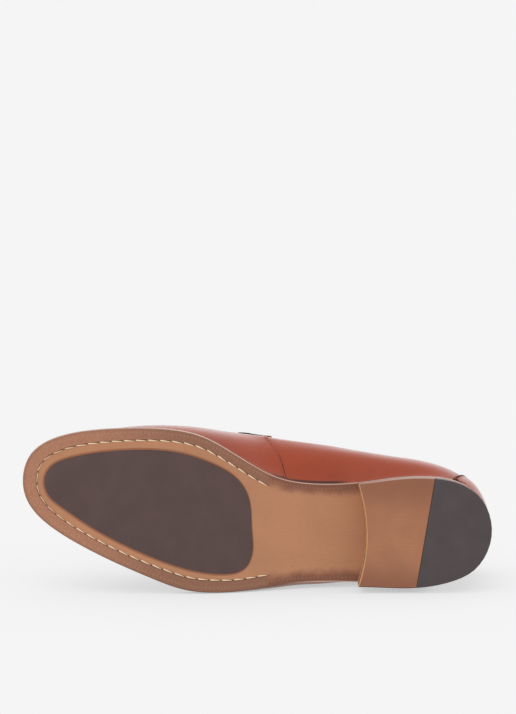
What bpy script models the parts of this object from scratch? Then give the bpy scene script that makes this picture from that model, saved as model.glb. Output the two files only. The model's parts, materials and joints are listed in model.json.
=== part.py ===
"""Right-foot bit loafer, empty, lying on its outer side.

The shoe is worked out standing on its sole: x runs from the back of the heel to the toe, y towards the
inner side of the foot and z up. Tables are in millimetres for a shoe of TABLE_LENGTH and TABLE_BALL, and
are scaled to the driving sizes. At the end the whole shoe is laid on its outer side, toe along -X.
"""

import math

import bmesh
import bpy
import numpy as np
from mathutils import Matrix, Vector
from mathutils.bvhtree import BVHTree
from mathutils.geometry import delaunay_2d_cdt

MM = 0.001

# Driving sizes
LENGTH = 305.3
BALL_WIDTH = 100.5
INSTEP_HEIGHT = 90.0
HEEL_HEIGHT = 20.5

# Sole and welt
OUTSOLE_THICK = 5.0
PAD_THICK = 2.4
PAD_PROUD = 0.5
WELT_THICK = 3.0
WELT_INSET = 0.8
HEEL_PITCH = 2.2
HEEL_FLARE = 0.8
TOE_SPRING = 11.0
BALL_BACK = 190.0
BALL_FRONT = 222.0
SPRING_POWER = 1.7
WAIST_BEVEL = 2.5
BEVEL_BACK = (84.0, 108.0)
BEVEL_FRONT = (132.0, 172.0)

# Heel
TOP_PIECE_THICK = 6.0
HEEL_LIFTS = 3
LIFT_GROOVE = 0.4
LIFT_GROOVE_SHARE = 0.025
BREAST_MEDIAL = (90.3, 28.0)
BREAST_LATERAL = (83.2, -37.2)
BREAST_HOLLOW = 5.3
SPLIT_MEDIAL = 41.3
SPLIT_LATERAL = 45.5

# Upper and what is sewn on it
WALL = 2.0
INSOLE_THICK = 3.0
TUCK_LEAVE = 0.35
TUCK_ARRIVE = 0.6
SEAM_STEP = 0.9
SEAM_STATION = 136.0
APRON_RISE = 42.0
APRON_RIDGE = 1.3
APRON_ENDS = (188.0, 206.0)
COUNTER_THICK = 1.2
COUNTER_LOW = 25.0
COUNTER_HIGH = 9.0
COUNTER_TAPER = 1.15
STRAP_THICK = 1.6
STRAP_WIDTH = 22.0
STRAP_CENTRE = 170.0
STRAP_SWEEP = 11.0
STRAP_REACH = 84.0
STRAP_CORE_HEIGHT = 50.0
OUTSIDE_REACH = 200.0
PATCH_ANGLE = 3.0
PATCH_LENGTH = 4.0

# Bit: two rings and a bar, with a leather keeper near each ring
BIT_BAR_RADIUS = 1.7
BIT_RING_RADIUS = 8.5
BIT_WIRE_RADIUS = 1.7
BIT_RING_ANGLE = 40.0
BIT_STEP_ANGLE = 2.0
INSTEP_RADIUS = 40.0
KEEPER_ANGLE = 15.0
KEEPER_WIDTH = 5.0
KEEPER_THICK = 1.2

# Clear space between pieces that meet
GAP = 0.3
CURVED_GAP = 0.45

# How finely curves and bodies are divided
RIB_COUNT = 76
SEAM_HALF_GAP = 0.0012
SEAM_CLEARANCE = 0.004
CURVE_STEPS = 48
OUTLINE_STEPS = 1440
BEND_SPAN = 6
BEND_WEIGHT = 26.0
PLATE_SPACING = 11.0
PLATE_CLEARANCE = 0.55
PAD_POINTS = 56
BREAST_POINTS = 11
HEEL_POINTS = 34
RUBBER_POINTS = 26
HEEL_FRONT_POINTS = 8
COUNTER_ROWS = 9
COUNTER_COLUMNS = 13
COUNTER_SIDE_STEP = 0.001
COUNTER_RISE_STEP = 0.5
STRAP_ROWS = 27
STRAP_COLUMNS = 5
BIT_SIDES = 10
BIT_BAR_STEPS = 15
BIT_RING_STEPS = 28
KEEPER_STEPS = 9
SETTLE_TURNS = 40
SMOOTH_ANGLE = 40.0

# Finishes: base colour in linear light, roughness and metallic value
COGNAC_LEATHER = ((0.36, 0.075, 0.03), 0.32, 0.0)
SOLE_LEATHER = ((0.462, 0.212, 0.109), 0.5, 0.0)
WELT_LEATHER = ((0.36, 0.16, 0.085), 0.5, 0.0)
HEEL_LEATHER = ((0.40, 0.17, 0.095), 0.45, 0.0)
INSOLE_LEATHER = ((0.42, 0.22, 0.11), 0.55, 0.0)
SOLE_RUBBER = ((0.105, 0.07, 0.064), 0.6, 0.0)
BRASS = ((0.7, 0.6, 0.4), 0.25, 1.0)

TABLE_LENGTH = 305.3
TABLE_BALL = 100.5
TABLE_INSTEP = 90.0

# The middle line from which the shoe's sides are taken to face outwards, in plan.
MIDDLE_BACK = (46.0, 2.0)
MIDDLE_FRONT = (252.0, 9.0)

# Edge of the outsole: station along the shoe, then half widths on the inner and outer side.
SOLE_BACK = (1.6, 4.0)
SOLE_TIP = (306.9, 10.7)
SOLE_EDGE = (
    ("heel back", 4.6, 17.6, 10.2),
    ("heel corner", 11.0, 27.1, 19.8),
    ("heel round", 23.0, 34.1, 27.4),
    ("heel", 43.0, 36.2, 33.6),
    ("heel front", 66.0, 33.2, 36.2),
    ("breast", 90.0, 27.6, 37.8),
    ("waist", 120.0, 24.2, 40.8),
    ("waist front", 143.0, 26.6, 45.6),
    ("joint back", 160.0, 33.4, 49.7),
    ("joint", 177.0, 41.7, 52.0),
    ("ball", 193.0, 48.2, 52.2),
    ("ball front", 217.0, 50.9, 46.8),
    ("forefoot", 240.0, 49.0, 39.7),
    ("toe back", 263.0, 45.2, 31.4),
    ("toe side", 285.0, 38.5, 21.2),
    ("toe corner", 297.0, 31.4, 12.6),
    ("toe end", 303.5, 23.9, 4.2),
)

# Rubber pad let into the forefoot: station, inner edge and outer edge, both measured towards the inner side.
PAD_BACK = (155.9, -8.0)
PAD_TIP = (292.6, 10.0)
PAD_EDGE = (
    ("back edge", 157.6, 3.2, -34.2),
    ("back corner", 161.0, 13.9, -36.7),
    ("back", 169.0, 23.5, -38.8),
    ("joint", 184.0, 31.0, -39.3),
    ("ball", 208.0, 36.2, -35.5),
    ("forefoot", 235.0, 35.3, -27.4),
    ("toe back", 262.0, 30.1, -16.5),
    ("toe side", 280.0, 24.1, -7.0),
    ("toe corner", 288.5, 18.8, -1.2),
)
PAD_OUTER_CORNER = (153.9, -25.5)

# Ribs of the upper. Each starts at the feather line, inside the sole edge at its station, leans forward by
# lean, is widest bulge_out beyond the sole edge and bulge_rise above the feather, and ends on the topline.
# rise and run are the shares of the chord over which it leaves the widest point and reaches the topline,
# and slope is its angle there.
RIB_COLUMNS = ("station", "feather_in", "lean", "bulge_out", "bulge_rise",
               "top_station", "top_width", "top_height", "rise", "run", "slope")
RIB_BACK = (1.6, 3.0, 0.0, 1.0, 20.0, 5.0, 3.0, 82.0, 0.35, 0.30, 80.0)
RIB_TIP = (306.9, 7.0, 0.0, -5.0, 9.5, 146.0, 2.0, 91.5, 0.09, 0.50, 26.0)
RIBS_MEDIAL = (
    (11.0, 3.0, 0.0, 0.4, 20.0, 12.0, 15.0, 81.0, 0.35, 0.30, 80.0),
    (43.0, 3.0, 0.0, 6.2, 22.0, 42.0, 29.5, 75.0, 0.36, 0.30, 76.0),
    (66.0, 3.0, 0.0, 10.8, 24.0, 65.0, 32.5, 73.5, 0.36, 0.30, 74.0),
    (90.0, 3.0, 2.0, 17.9, 27.0, 90.0, 33.0, 74.5, 0.36, 0.30, 72.0),
    (120.0, 3.0, 7.0, 23.1, 29.0, 122.0, 28.5, 79.5, 0.40, 0.30, 60.0),
    (136.0, 3.0, 13.8, 22.9, 30.0, 140.0, 20.5, 85.5, 0.42, 0.30, 48.0),
    (160.0, 4.5, 8.0, 15.3, 29.0, 144.4, 15.0, 87.8, 0.40, 0.32, 38.0),
    (193.0, 6.5, 2.0, 2.6, 23.0, 145.6, 10.0, 89.8, 0.30, 0.38, 32.0),
    (240.0, 7.0, 0.0, -1.2, 14.5, 145.9, 6.0, 91.0, 0.18, 0.45, 28.0),
    (285.0, 7.0, 0.0, -5.0, 10.5, 146.0, 3.4, 91.4, 0.10, 0.50, 26.0),
)
RIBS_LATERAL = (
    (11.0, 3.0, 0.0, 1.2, 20.0, 12.0, -11.0, 80.5, 0.35, 0.30, 80.0),
    (43.0, 3.0, 0.0, 0.4, 21.0, 42.0, -27.0, 72.5, 0.36, 0.30, 78.0),
    (66.0, 3.0, 0.0, 0.7, 20.0, 65.0, -31.0, 70.5, 0.38, 0.30, 78.0),
    (90.0, 2.8, 1.0, 2.0, 18.0, 90.0, -33.0, 71.5, 0.42, 0.30, 77.0),
    (120.0, 2.0, 5.0, 2.7, 16.0, 122.0, -29.0, 77.5, 0.46, 0.30, 64.0),
    (136.0, 2.8, 9.0, 0.9, 16.0, 140.0, -18.5, 84.5, 0.46, 0.30, 50.0),
    (160.0, 5.4, 7.0, -2.2, 17.0, 144.4, -12.0, 87.2, 0.40, 0.32, 38.0),
    (193.0, 6.8, 2.0, -4.6, 17.0, 145.6, -6.5, 89.6, 0.30, 0.38, 32.0),
    (240.0, 7.0, 0.0, -5.0, 13.0, 145.9, -2.2, 90.9, 0.18, 0.45, 28.0),
    (285.0, 7.0, 0.0, -5.0, 10.5, 146.0, 0.6, 91.4, 0.10, 0.50, 26.0),
)

# Rings of the upper up from the feather line, in millimetres along a rib; the rest are spread to the topline.
LOW_RINGS = (0.0, 4.5, 10.0, 16.5, 24.0, 32.0)
HIGH_RINGS = 6
RIDGE_SHAPE = ((-2.4, 0.0), (-1.1, 1.0), (1.1, 1.0), (2.4, 0.0))


def ring_spline(knots, values, at):
    """Values at the places asked for, on a smooth closed curve of period 1 through the knots."""
    knots = np.asarray(knots, float)
    values = np.asarray(values, float)
    count = len(knots)
    steps = np.diff(np.append(knots, knots[0] + 1.0))
    before = np.roll(steps, 1)
    rise = (np.roll(values, -1, axis=0) - values) / steps.reshape(-1, *[1] * (values.ndim - 1))
    system = np.zeros((count, count))
    rows = np.arange(count)
    system[rows, rows] = 2.0 * (before + steps)
    system[rows, (rows - 1) % count] += before
    system[rows, (rows + 1) % count] += steps
    bend = np.linalg.solve(system, 6.0 * (rise - np.roll(rise, 1, axis=0)))
    places = (np.asarray(at, float) - knots[0]) % 1.0 + knots[0]
    part = np.clip(np.searchsorted(knots, places, side="right") - 1, 0, count - 1)
    width = steps[part]
    share = (places - knots[part]) / width
    following = (part + 1) % count
    if values.ndim > 1:
        width = width[:, None]
        share = share[:, None]
    left = 1.0 - share
    straight = left * values[part] + share * values[following]
    curved = (left**3 - left) * bend[part] + (share**3 - share) * bend[following]
    return straight + curved * width**2 / 6.0


class ClosedCurve:
    """Smooth closed outline in plan, read by the share of its length from its first point."""

    def __init__(self, points):
        points = np.asarray(points, float)
        sides = np.linalg.norm(np.roll(points, -1, axis=0) - points, axis=1)
        knots = np.concatenate([[0.0], np.cumsum(sides)[:-1]]) / sides.sum()
        fine = np.linspace(0.0, 1.0, OUTLINE_STEPS + 1)
        path = ring_spline(knots, points, fine)
        lengths = np.concatenate([[0.0], np.cumsum(np.linalg.norm(np.diff(path, axis=0), axis=1))])
        self.shares = lengths / lengths[-1]
        self.path = path
        self.tip = self.shares[np.argmax(path[:, 0])]

    def at(self, share):
        share = np.asarray(share, float) % 1.0
        columns = [np.interp(share, self.shares, self.path[:, axis]) for axis in (0, 1)]
        return np.stack(columns, axis=-1)

    def share_at(self, station, inner_side):
        """Share of the length at which the outline passes a station, on the inner or the outer side."""
        side = self.shares <= self.tip if inner_side else self.shares >= self.tip
        stations = self.path[side, 0]
        shares = self.shares[side]
        order = np.argsort(stations)
        return float(np.interp(station, stations[order], shares[order]))

    def spread(self, count):
        """Shares that lie closer together where the outline is round."""
        ahead = np.roll(self.path[:-1], -BEND_SPAN, axis=0) - self.path[:-1]
        back = self.path[:-1] - np.roll(self.path[:-1], BEND_SPAN, axis=0)
        turn = ahead[:, 0] * back[:, 1] - ahead[:, 1] * back[:, 0]
        reach = np.linalg.norm(ahead, axis=1) * np.linalg.norm(back, axis=1)
        bend = np.abs(turn) / reach / np.linalg.norm(ahead, axis=1)
        weight = np.cumsum(1.0 + BEND_WEIGHT * bend)
        weight = np.concatenate([[0.0], weight]) / weight[-1]
        return np.interp(np.arange(count) / count, weight, self.shares)


def scaled_plan(points):
    """Plan points of the tables at the driving sizes."""
    return np.asarray(points, float) * (LENGTH / TABLE_LENGTH, BALL_WIDTH / TABLE_BALL)


def sole_curve():
    inner = [(station, medial) for _, station, medial, _ in SOLE_EDGE]
    outer = [(station, -lateral) for _, station, _, lateral in reversed(SOLE_EDGE)]
    return ClosedCurve(scaled_plan([SOLE_BACK, *inner, SOLE_TIP, *outer]))


def pad_curve():
    inner = [(station, medial) for _, station, medial, _ in PAD_EDGE]
    outer = [(station, lateral) for _, station, _, lateral in reversed(PAD_EDGE)]
    return ClosedCurve(scaled_plan([PAD_BACK, *inner, PAD_TIP, *outer, PAD_OUTER_CORNER]))


EDGE = sole_curve()
STRETCH = LENGTH / TABLE_LENGTH


def sole_bottom(station):
    """Height of the outsole's underside above the ground, from the heel seat to the toe spring."""
    station = np.asarray(station, float) / STRETCH
    breast = BREAST_LATERAL[0]
    seat_back = HEEL_HEIGHT + HEEL_PITCH * 0.5
    seat_front = HEEL_HEIGHT - HEEL_PITCH * 0.5
    seat = seat_back + (seat_front - seat_back) * np.clip(station / breast, -0.1, 1.0)
    fall = np.clip((station - breast) / (BALL_BACK - breast), 0.0, 1.0)
    arch = PAD_PROUD + (seat - PAD_PROUD) * (0.5 + 0.5 * np.cos(math.pi * fall))
    toe = np.clip((station - BALL_FRONT) / (TABLE_LENGTH - BALL_FRONT), 0.0, 1.1)
    return arch + TOE_SPRING * toe**SPRING_POWER


def sole_top(station):
    return sole_bottom(station) + OUTSOLE_THICK


def feather_height(station):
    return sole_top(station) + CURVED_GAP


def outward(points):
    """Unit plan direction away from the middle of the shoe, across it at the sides and round its ends."""
    first = np.array(MIDDLE_BACK) * STRETCH
    last = np.array(MIDDLE_FRONT) * STRETCH
    along = last - first
    share = np.clip(((points - first) @ along) / (along @ along), 0.0, 1.0)
    away = points - (first + share[..., None] * along)
    return away / np.linalg.norm(away, axis=-1, keepdims=True)


def smooth_step(share):
    share = np.clip(share, 0.0, 1.0)
    return share * share * (3.0 - 2.0 * share)


def waist_bevel(edge):
    """How far the sole's side leans out, from its underside to its top, along the outer waist."""
    station = edge[:, 0] / STRETCH
    starts = smooth_step((station - BEVEL_BACK[0]) / (BEVEL_BACK[1] - BEVEL_BACK[0]))
    ends = 1.0 - smooth_step((station - BEVEL_FRONT[0]) / (BEVEL_FRONT[1] - BEVEL_FRONT[0]))
    return WAIST_BEVEL * starts * ends * (edge[:, 1] < 0.0)


def bezier(start, first, second, end, step):
    """Points of a cubic curve from start to end, pulled towards its two handles."""
    rest = 1.0 - step
    return rest**3 * start + 3 * rest**2 * step * first + 3 * rest * step**2 * second + step**3 * end


def rib_values(shares):
    """Columns of the rib tables at shares of the sole edge, as a dictionary of arrays."""
    rows = [(0.0, RIB_BACK)]
    rows += [(EDGE.share_at(row[0] * STRETCH, True), row) for row in RIBS_MEDIAL]
    rows.append((EDGE.tip, RIB_TIP))
    rows += [(EDGE.share_at(row[0] * STRETCH, False), row) for row in reversed(RIBS_LATERAL)]
    knots = [share for share, _ in rows]
    values = ring_spline(knots, [row for _, row in rows], shares)
    return dict(zip(RIB_COLUMNS, values.T))


def rib_curves(shares):
    """The ribs at the shares asked for, each with CURVE_STEPS points below its widest place and above it."""
    value = rib_values(shares)
    edge = EDGE.at(shares)
    side = outward(edge)
    feather = edge - side * value["feather_in"][:, None]
    bulge = edge + side * value["bulge_out"][:, None]
    bulge[:, 0] += value["lean"] * STRETCH
    top = scaled_plan(np.stack([value["top_station"], value["top_width"]], axis=1))
    low = feather_height(feather[:, 0])
    middle = low + value["bulge_rise"]
    high = value["top_height"] * INSTEP_HEIGHT / TABLE_INSTEP
    step = np.linspace(0.0, 1.0, CURVE_STEPS)[None, :, None]
    start = np.concatenate([feather, low[:, None]], axis=1)[:, None, :]
    widest = np.concatenate([bulge, middle[:, None]], axis=1)[:, None, :]
    up = np.array([0.0, 0.0, 1.0])
    climb = value["bulge_rise"][:, None, None] * up
    below = bezier(start, start + TUCK_LEAVE * climb, widest - TUCK_ARRIVE * climb, widest, step)
    end = np.concatenate([top, high[:, None]], axis=1)[:, None, :]
    chord = np.linalg.norm(end - widest, axis=2)[:, :, None]
    inward = (top - bulge) / np.linalg.norm(top - bulge, axis=1, keepdims=True)
    angle = np.radians(value["slope"])
    arrive = np.concatenate([inward * np.cos(angle)[:, None], np.sin(angle)[:, None]], axis=1)[:, None, :]
    first = widest + up * chord * value["rise"][:, None, None]
    second = end - arrive * chord * value["run"][:, None, None]
    above = bezier(widest, first, second, end, step)
    return np.concatenate([below, above[:, 1:]], axis=1)


def along_rib(curve, distances):
    """Points of one rib at distances from its feather end."""
    lengths = np.concatenate([[0.0], np.cumsum(np.linalg.norm(np.diff(curve, axis=0), axis=1))])
    return np.stack([np.interp(distances, lengths, curve[:, axis]) for axis in range(3)], axis=1)


def rib_length(curve):
    return float(np.linalg.norm(np.diff(curve, axis=0), axis=1).sum())


def grid_normals(grid):
    """Outward unit normals of a grid of points, ring by ring, closed along each ring."""
    along = np.roll(grid, -1, axis=1) - np.roll(grid, 1, axis=1)
    up = np.gradient(grid, axis=0)
    normal = np.cross(along, up)
    return -normal / np.linalg.norm(normal, axis=2, keepdims=True)


def seam_shares():
    """Places on the sole edge where the vamp's two side seams start."""
    return EDGE.share_at(SEAM_STATION * STRETCH, True), EDGE.share_at(SEAM_STATION * STRETCH, False)


def on_vamp(shares):
    """1 for the ribs that belong to the vamp, in front of the side seams, and 0 for the quarters' ribs."""
    first, last = seam_shares()
    return ((shares > first) & (shares < last)).astype(float)


def rib_shares():
    """Places of the ribs, with a close pair at each side seam."""
    shares = EDGE.spread(RIB_COUNT)
    for seam in seam_shares():
        shares = shares[np.abs(shares - seam) > SEAM_CLEARANCE]
        shares = np.concatenate([shares, [seam - SEAM_HALF_GAP, seam + SEAM_HALF_GAP]])
    return np.sort(shares)


def ring_distances(length):
    """Distances of the rings up one rib, with four close together where the apron's seam stands proud."""
    ridge = [APRON_RISE + offset for offset, _ in RIDGE_SHAPE]
    upper = np.linspace(ridge[-1], length, HIGH_RINGS + 1)[1:]
    return np.concatenate([LOW_RINGS, ridge, upper])


def upper_surfaces():
    """Outer and inner grid of the upper's wall, with the vamp's step and the apron's raised seam."""
    shares = rib_shares()
    curves = rib_curves(shares)
    columns = [along_rib(curve, ring_distances(rib_length(curve))) for curve in curves]
    grid = np.stack(columns, axis=1)
    normal = grid_normals(grid)
    raised = np.zeros(grid.shape[:2]) + SEAM_STEP * on_vamp(shares)
    for index, (_, height) in enumerate(RIDGE_SHAPE):
        ring = len(LOW_RINGS) + index
        fade = smooth_step((grid[ring, :, 0] / STRETCH - APRON_ENDS[0]) / (APRON_ENDS[1] - APRON_ENDS[0]))
        raised[ring] += APRON_RIDGE * height * fade
    outer = grid + normal * raised[:, :, None]
    inner = grid - normal * WALL
    return outer, inner


def finish(name, bm, look):
    """Turns a bmesh in millimetres into an object in metres, smooth where it is round, with its material."""
    bmesh.ops.recalc_face_normals(bm, faces=bm.faces)
    bmesh.ops.scale(bm, vec=(MM, MM, MM), verts=bm.verts)
    mesh = bpy.data.meshes.new(name)
    bm.to_mesh(mesh)
    bm.free()
    mesh.shade_smooth()
    mesh.set_sharp_from_angle(angle=math.radians(SMOOTH_ANGLE))
    obj = bpy.data.objects.new(name, mesh)
    bpy.context.collection.objects.link(obj)
    material = bpy.data.materials.new(name + "_finish")
    material.use_nodes = True
    shader = material.node_tree.nodes["Principled BSDF"]
    colour, roughness, metallic = look
    shader.inputs["Base Color"].default_value = (*colour, 1.0)
    shader.inputs["Roughness"].default_value = roughness
    shader.inputs["Metallic"].default_value = metallic
    mesh.materials.append(material)
    return obj


def add_points(bm, points):
    return [bm.verts.new(point) for point in points]


def skin(bm, lower, upper, closed=True):
    """Faces between two rows of vertices of the same count."""
    count = len(lower)
    for index in range(count if closed else count - 1):
        following = (index + 1) % count
        bm.faces.new((lower[index], lower[following], upper[following], upper[index]))


def loft(rings, ring_of_rings=False):
    """Closed body through rings of points, with flat ends or joined round into one another."""
    bm = bmesh.new()
    rows = [add_points(bm, ring) for ring in rings]
    for lower, upper in zip(rows, rows[1:]):
        skin(bm, lower, upper)
    if ring_of_rings:
        skin(bm, rows[-1], rows[0])
    else:
        bm.faces.new(reversed(rows[0]))
        bm.faces.new(rows[-1])
    return bm


def patch(low, high):
    """Closed body between two grids of points that lie one above the other."""
    bm = bmesh.new()
    under = [add_points(bm, row) for row in low]
    over = [add_points(bm, row) for row in high]
    for rows in (under, over):
        for lower, upper in zip(rows, rows[1:]):
            skin(bm, lower, upper, closed=False)
    for rim_under, rim_over in (
        (under[0], over[0]),
        (under[-1], over[-1]),
        ([row[0] for row in under], [row[0] for row in over]),
        ([row[-1] for row in under], [row[-1] for row in over]),
    ):
        skin(bm, rim_under, rim_over, closed=False)
    return bm


def inside(outline, points):
    """Which plan points lie inside an outline."""
    found = np.zeros(len(points), bool)
    for start, end in zip(outline, np.roll(outline, -1, axis=0)):
        crosses = (start[1] > points[:, 1]) != (end[1] > points[:, 1])
        rise = end[1] - start[1] if end[1] != start[1] else 1.0
        reach = start[0] + (points[:, 1] - start[1]) * (end[0] - start[0]) / rise
        found ^= crosses & (points[:, 0] < reach)
    return found


def inner_points(outlines):
    """Points of an even grid inside the first outline, clear of the lines of all."""
    low = outlines[0].min(axis=0)
    high = outlines[0].max(axis=0)
    columns = np.arange(low[0], high[0], PLATE_SPACING)
    rows = np.arange(low[1], high[1], PLATE_SPACING)
    grid = np.stack(np.meshgrid(columns, rows), axis=-1).reshape(-1, 2)
    lines = np.concatenate(outlines)
    nearest = np.linalg.norm(grid[:, None, :] - lines[None, :, :], axis=2).min(axis=1)
    return grid[inside(outlines[0], grid) & (nearest > PLATE_SPACING * PLATE_CLEARANCE)]


def slab(outline, low, high, pocket=None, pocket_depth=0.0, top_outline=None):
    """Closed plate with an outline in plan between two heights along the shoe, with a pocket from below."""
    outlines = [outline] if pocket is None else [outline, pocket]
    points = np.concatenate([*outlines, inner_points(outlines)])
    edges = []
    for start, ring in zip((0, len(outline)), outlines):
        edges += [(start + index, start + (index + 1) % len(ring)) for index in range(len(ring))]
    plan, _, triangles, *_ = delaunay_2d_cdt([Vector(point) for point in points], edges, [], 1, 1e-6)
    plan = np.array([tuple(point) for point in plan])
    bm = bmesh.new()
    lower = add_points(bm, [(*point, low(point[0])) for point in plan])
    upper = add_points(bm, [(*point, high(point[0])) for point in plan])
    middles = np.array([plan[list(triangle)].mean(axis=0) for triangle in triangles])
    sunk = np.zeros(len(triangles), bool) if pocket is None else inside(pocket, middles)
    floor = {}
    for triangle, in_pocket in zip(triangles, sunk):
        bm.faces.new([upper[index] for index in triangle])
        if not in_pocket:
            bm.faces.new([lower[index] for index in reversed(triangle)])
            continue
        for index in triangle:
            if index not in floor:
                point = plan[index]
                floor[index] = bm.verts.new((*point, low(point[0]) + pocket_depth))
        bm.faces.new([floor[index] for index in reversed(triangle)])
    rim = list(range(len(outline)))
    if top_outline is not None:
        for index in rim:
            upper[index].co.xy = top_outline[index]
    skin(bm, [lower[index] for index in rim], [upper[index] for index in rim])
    if pocket is not None:
        rim = list(range(len(outline), len(outline) + len(pocket)))
        skin(bm, [lower[index] for index in rim], [floor[index] for index in rim])
    bmesh.ops.delete(bm, geom=[vert for vert in bm.verts if not vert.link_faces], context="VERTS")
    return bm


def outsole(pad_outline):
    edge = EDGE.at(rib_shares())
    middle = pad_outline.mean(axis=0)
    away = pad_outline - middle
    pocket = pad_outline + GAP * away / np.linalg.norm(away, axis=1, keepdims=True)
    top = edge + outward(edge) * waist_bevel(edge)[:, None]
    bm = slab(edge, sole_bottom, sole_top, pocket, PAD_THICK - PAD_PROUD + GAP, top)
    return finish("outsole", bm, SOLE_LEATHER)


def forefoot_pad(pad_outline):
    def underside(station):
        return sole_bottom(station) - PAD_PROUD

    def topside(station):
        return sole_bottom(station) + PAD_THICK - PAD_PROUD

    return finish("forefoot_pad", slab(pad_outline, underside, topside), SOLE_RUBBER)


def welt():
    """Strip of leather on the sole's margin, between the edge and the foot of the upper."""
    shares = rib_shares()
    edge = EDGE.at(shares)
    side = outward(edge)
    value = rib_values(shares)
    foot = edge - side * value["feather_in"][:, None]
    curves = rib_curves(shares)
    risen = np.stack([along_rib(curve, np.array([WELT_THICK + GAP])) for curve in curves])[:, 0, :2]
    clear = (SEAM_STEP * on_vamp(shares) + CURVED_GAP)[:, None]
    outer = edge + side * (waist_bevel(edge) - WELT_INSET)[:, None]
    rings = []
    for plan, height in (
        (outer, 0.0),
        (outer, WELT_THICK),
        (risen + side * clear, WELT_THICK),
        (foot + side * clear, 0.0),
    ):
        base = sole_top(plan[:, 0]) + GAP
        rings.append(np.concatenate([plan, (base + height)[:, None]], axis=1))
    return finish("welt", loft(rings, ring_of_rings=True), WELT_LEATHER)


def upper():
    outer, inner = upper_surfaces()
    bm = bmesh.new()
    outside = [add_points(bm, ring) for ring in outer]
    lining = [add_points(bm, ring) for ring in inner]
    for rows in (outside, lining):
        for low, high in zip(rows, rows[1:]):
            skin(bm, low, high)
    skin(bm, outside[0], lining[0])
    skin(bm, outside[-1], lining[-1])
    return finish("upper", bm, COGNAC_LEATHER)


def insole():
    shares = rib_shares()
    edge = EDGE.at(shares)
    outline = edge - outward(edge) * (rib_values(shares)["feather_in"] + WALL + GAP)[:, None]

    def underside(station):
        return sole_top(station) + GAP

    def topside(station):
        return sole_top(station) + GAP + INSOLE_THICK

    return finish("insole", slab(outline, underside, topside), INSOLE_LEATHER)


def breast_line():
    """Hollow front of the heel from its outer to its inner corner, in plan."""
    share = np.linspace(0.0, 1.0, BREAST_POINTS)[:, None]
    line = np.array(BREAST_LATERAL) * (1.0 - share) + np.array(BREAST_MEDIAL) * share
    line[:, :1] -= BREAST_HOLLOW * 4.0 * share * (1.0 - share)
    return scaled_plan(line)


def heel_edge(first, last, count):
    """Side of the heel round its back, between two shares of the sole edge, as it meets the ground."""
    edge = EDGE.at(np.linspace(first, last, count))
    return edge + outward(edge) * HEEL_FLARE


def heel_outline(inset=0.0):
    """Outline of the heel: its breast, then round from the inner corner by the back to the outer one."""
    inner = EDGE.share_at(BREAST_MEDIAL[0] * STRETCH, True)
    outer = EDGE.share_at(BREAST_LATERAL[0] * STRETCH, False) - 1.0
    side = heel_edge(inner, outer, HEEL_POINTS)
    side = side - outward(side) * inset
    return np.concatenate([breast_line()[1:-1], side])


def heel_stack():
    """Leather lifts, with a fine groove round the heel between one and the next."""
    rings = []
    low = TOP_PIECE_THICK + GAP
    levels = [(0.0, 0.0)]
    for lift in range(1, HEEL_LIFTS):
        share = lift / HEEL_LIFTS
        levels += [(share - LIFT_GROOVE_SHARE, 0.0), (share, LIFT_GROOVE), (share + LIFT_GROOVE_SHARE, 0.0)]
    levels.append((1.0, 0.0))
    for share, groove in levels:
        outline = heel_outline(HEEL_FLARE * share + groove)
        high = sole_bottom(outline[:, 0]) - GAP
        rings.append(np.concatenate([outline, (low + (high - low) * share)[:, None]], axis=1))
    return finish("heel_stack", loft(rings), HEEL_LEATHER)


def top_pieces():
    """Bottom of the heel: rubber round the back, leather in front, with a slanting joint between them."""
    split_inner = EDGE.share_at(SPLIT_MEDIAL * STRETCH, True)
    split_outer = EDGE.share_at(SPLIT_LATERAL * STRETCH, False) - 1.0
    inner = EDGE.share_at(BREAST_MEDIAL[0] * STRETCH, True)
    outer = EDGE.share_at(BREAST_LATERAL[0] * STRETCH, False) - 1.0
    back = heel_edge(split_inner, split_outer, RUBBER_POINTS)
    front_inner = heel_edge(inner, split_inner, HEEL_FRONT_POINTS)
    front_outer = heel_edge(split_outer, outer, HEEL_FRONT_POINTS)
    front_inner[-1, 0] += GAP
    front_outer[0, 0] += GAP
    front = np.concatenate([breast_line()[1:-1], front_inner, front_outer])
    for name, outline, look in (
        ("heel_top_rubber", back, SOLE_RUBBER),
        ("heel_top_leather", front, HEEL_LEATHER),
    ):
        flat = np.zeros(len(outline))
        rings = [np.column_stack([outline, flat + height]) for height in (0.0, TOP_PIECE_THICK)]
        finish(name, loft(rings), look)


def counter():
    """Strip over the back seam, wider at the sole than at the topline."""
    start = WELT_THICK + 2.0 * GAP
    points = np.zeros((COUNTER_ROWS, COUNTER_COLUMNS, 3))
    normal = np.zeros_like(points)
    for row, climb in enumerate(np.linspace(0.0, 1.0, COUNTER_ROWS)):
        taper = smooth_step(climb * COUNTER_TAPER)
        reach = (COUNTER_LOW + (COUNTER_HIGH - COUNTER_LOW) * taper) * STRETCH
        first = EDGE.share_at(reach, False) - 1.0
        last = EDGE.share_at(reach, True)
        shares = np.linspace(first, last, COUNTER_COLUMNS)
        beside = rib_curves(shares + COUNTER_SIDE_STEP)
        for column, curve in enumerate(rib_curves(shares)):
            length = rib_length(curve)
            distance = start + (length - start) * climb
            around = distance + COUNTER_RISE_STEP * np.array([-1.0, 0.0, 1.0])
            around = np.clip(around, 0.0, length)
            below, here, above = along_rib(curve, around)
            across = along_rib(beside[column], around[1:2])[0] - here
            face = np.cross(above - below, across)
            points[row, column] = here
            normal[row, column] = face / np.linalg.norm(face)
    low = points + normal * GAP
    high = points + normal * (GAP + COUNTER_THICK)
    return finish("counter", patch(low, high), COGNAC_LEATHER)


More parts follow.
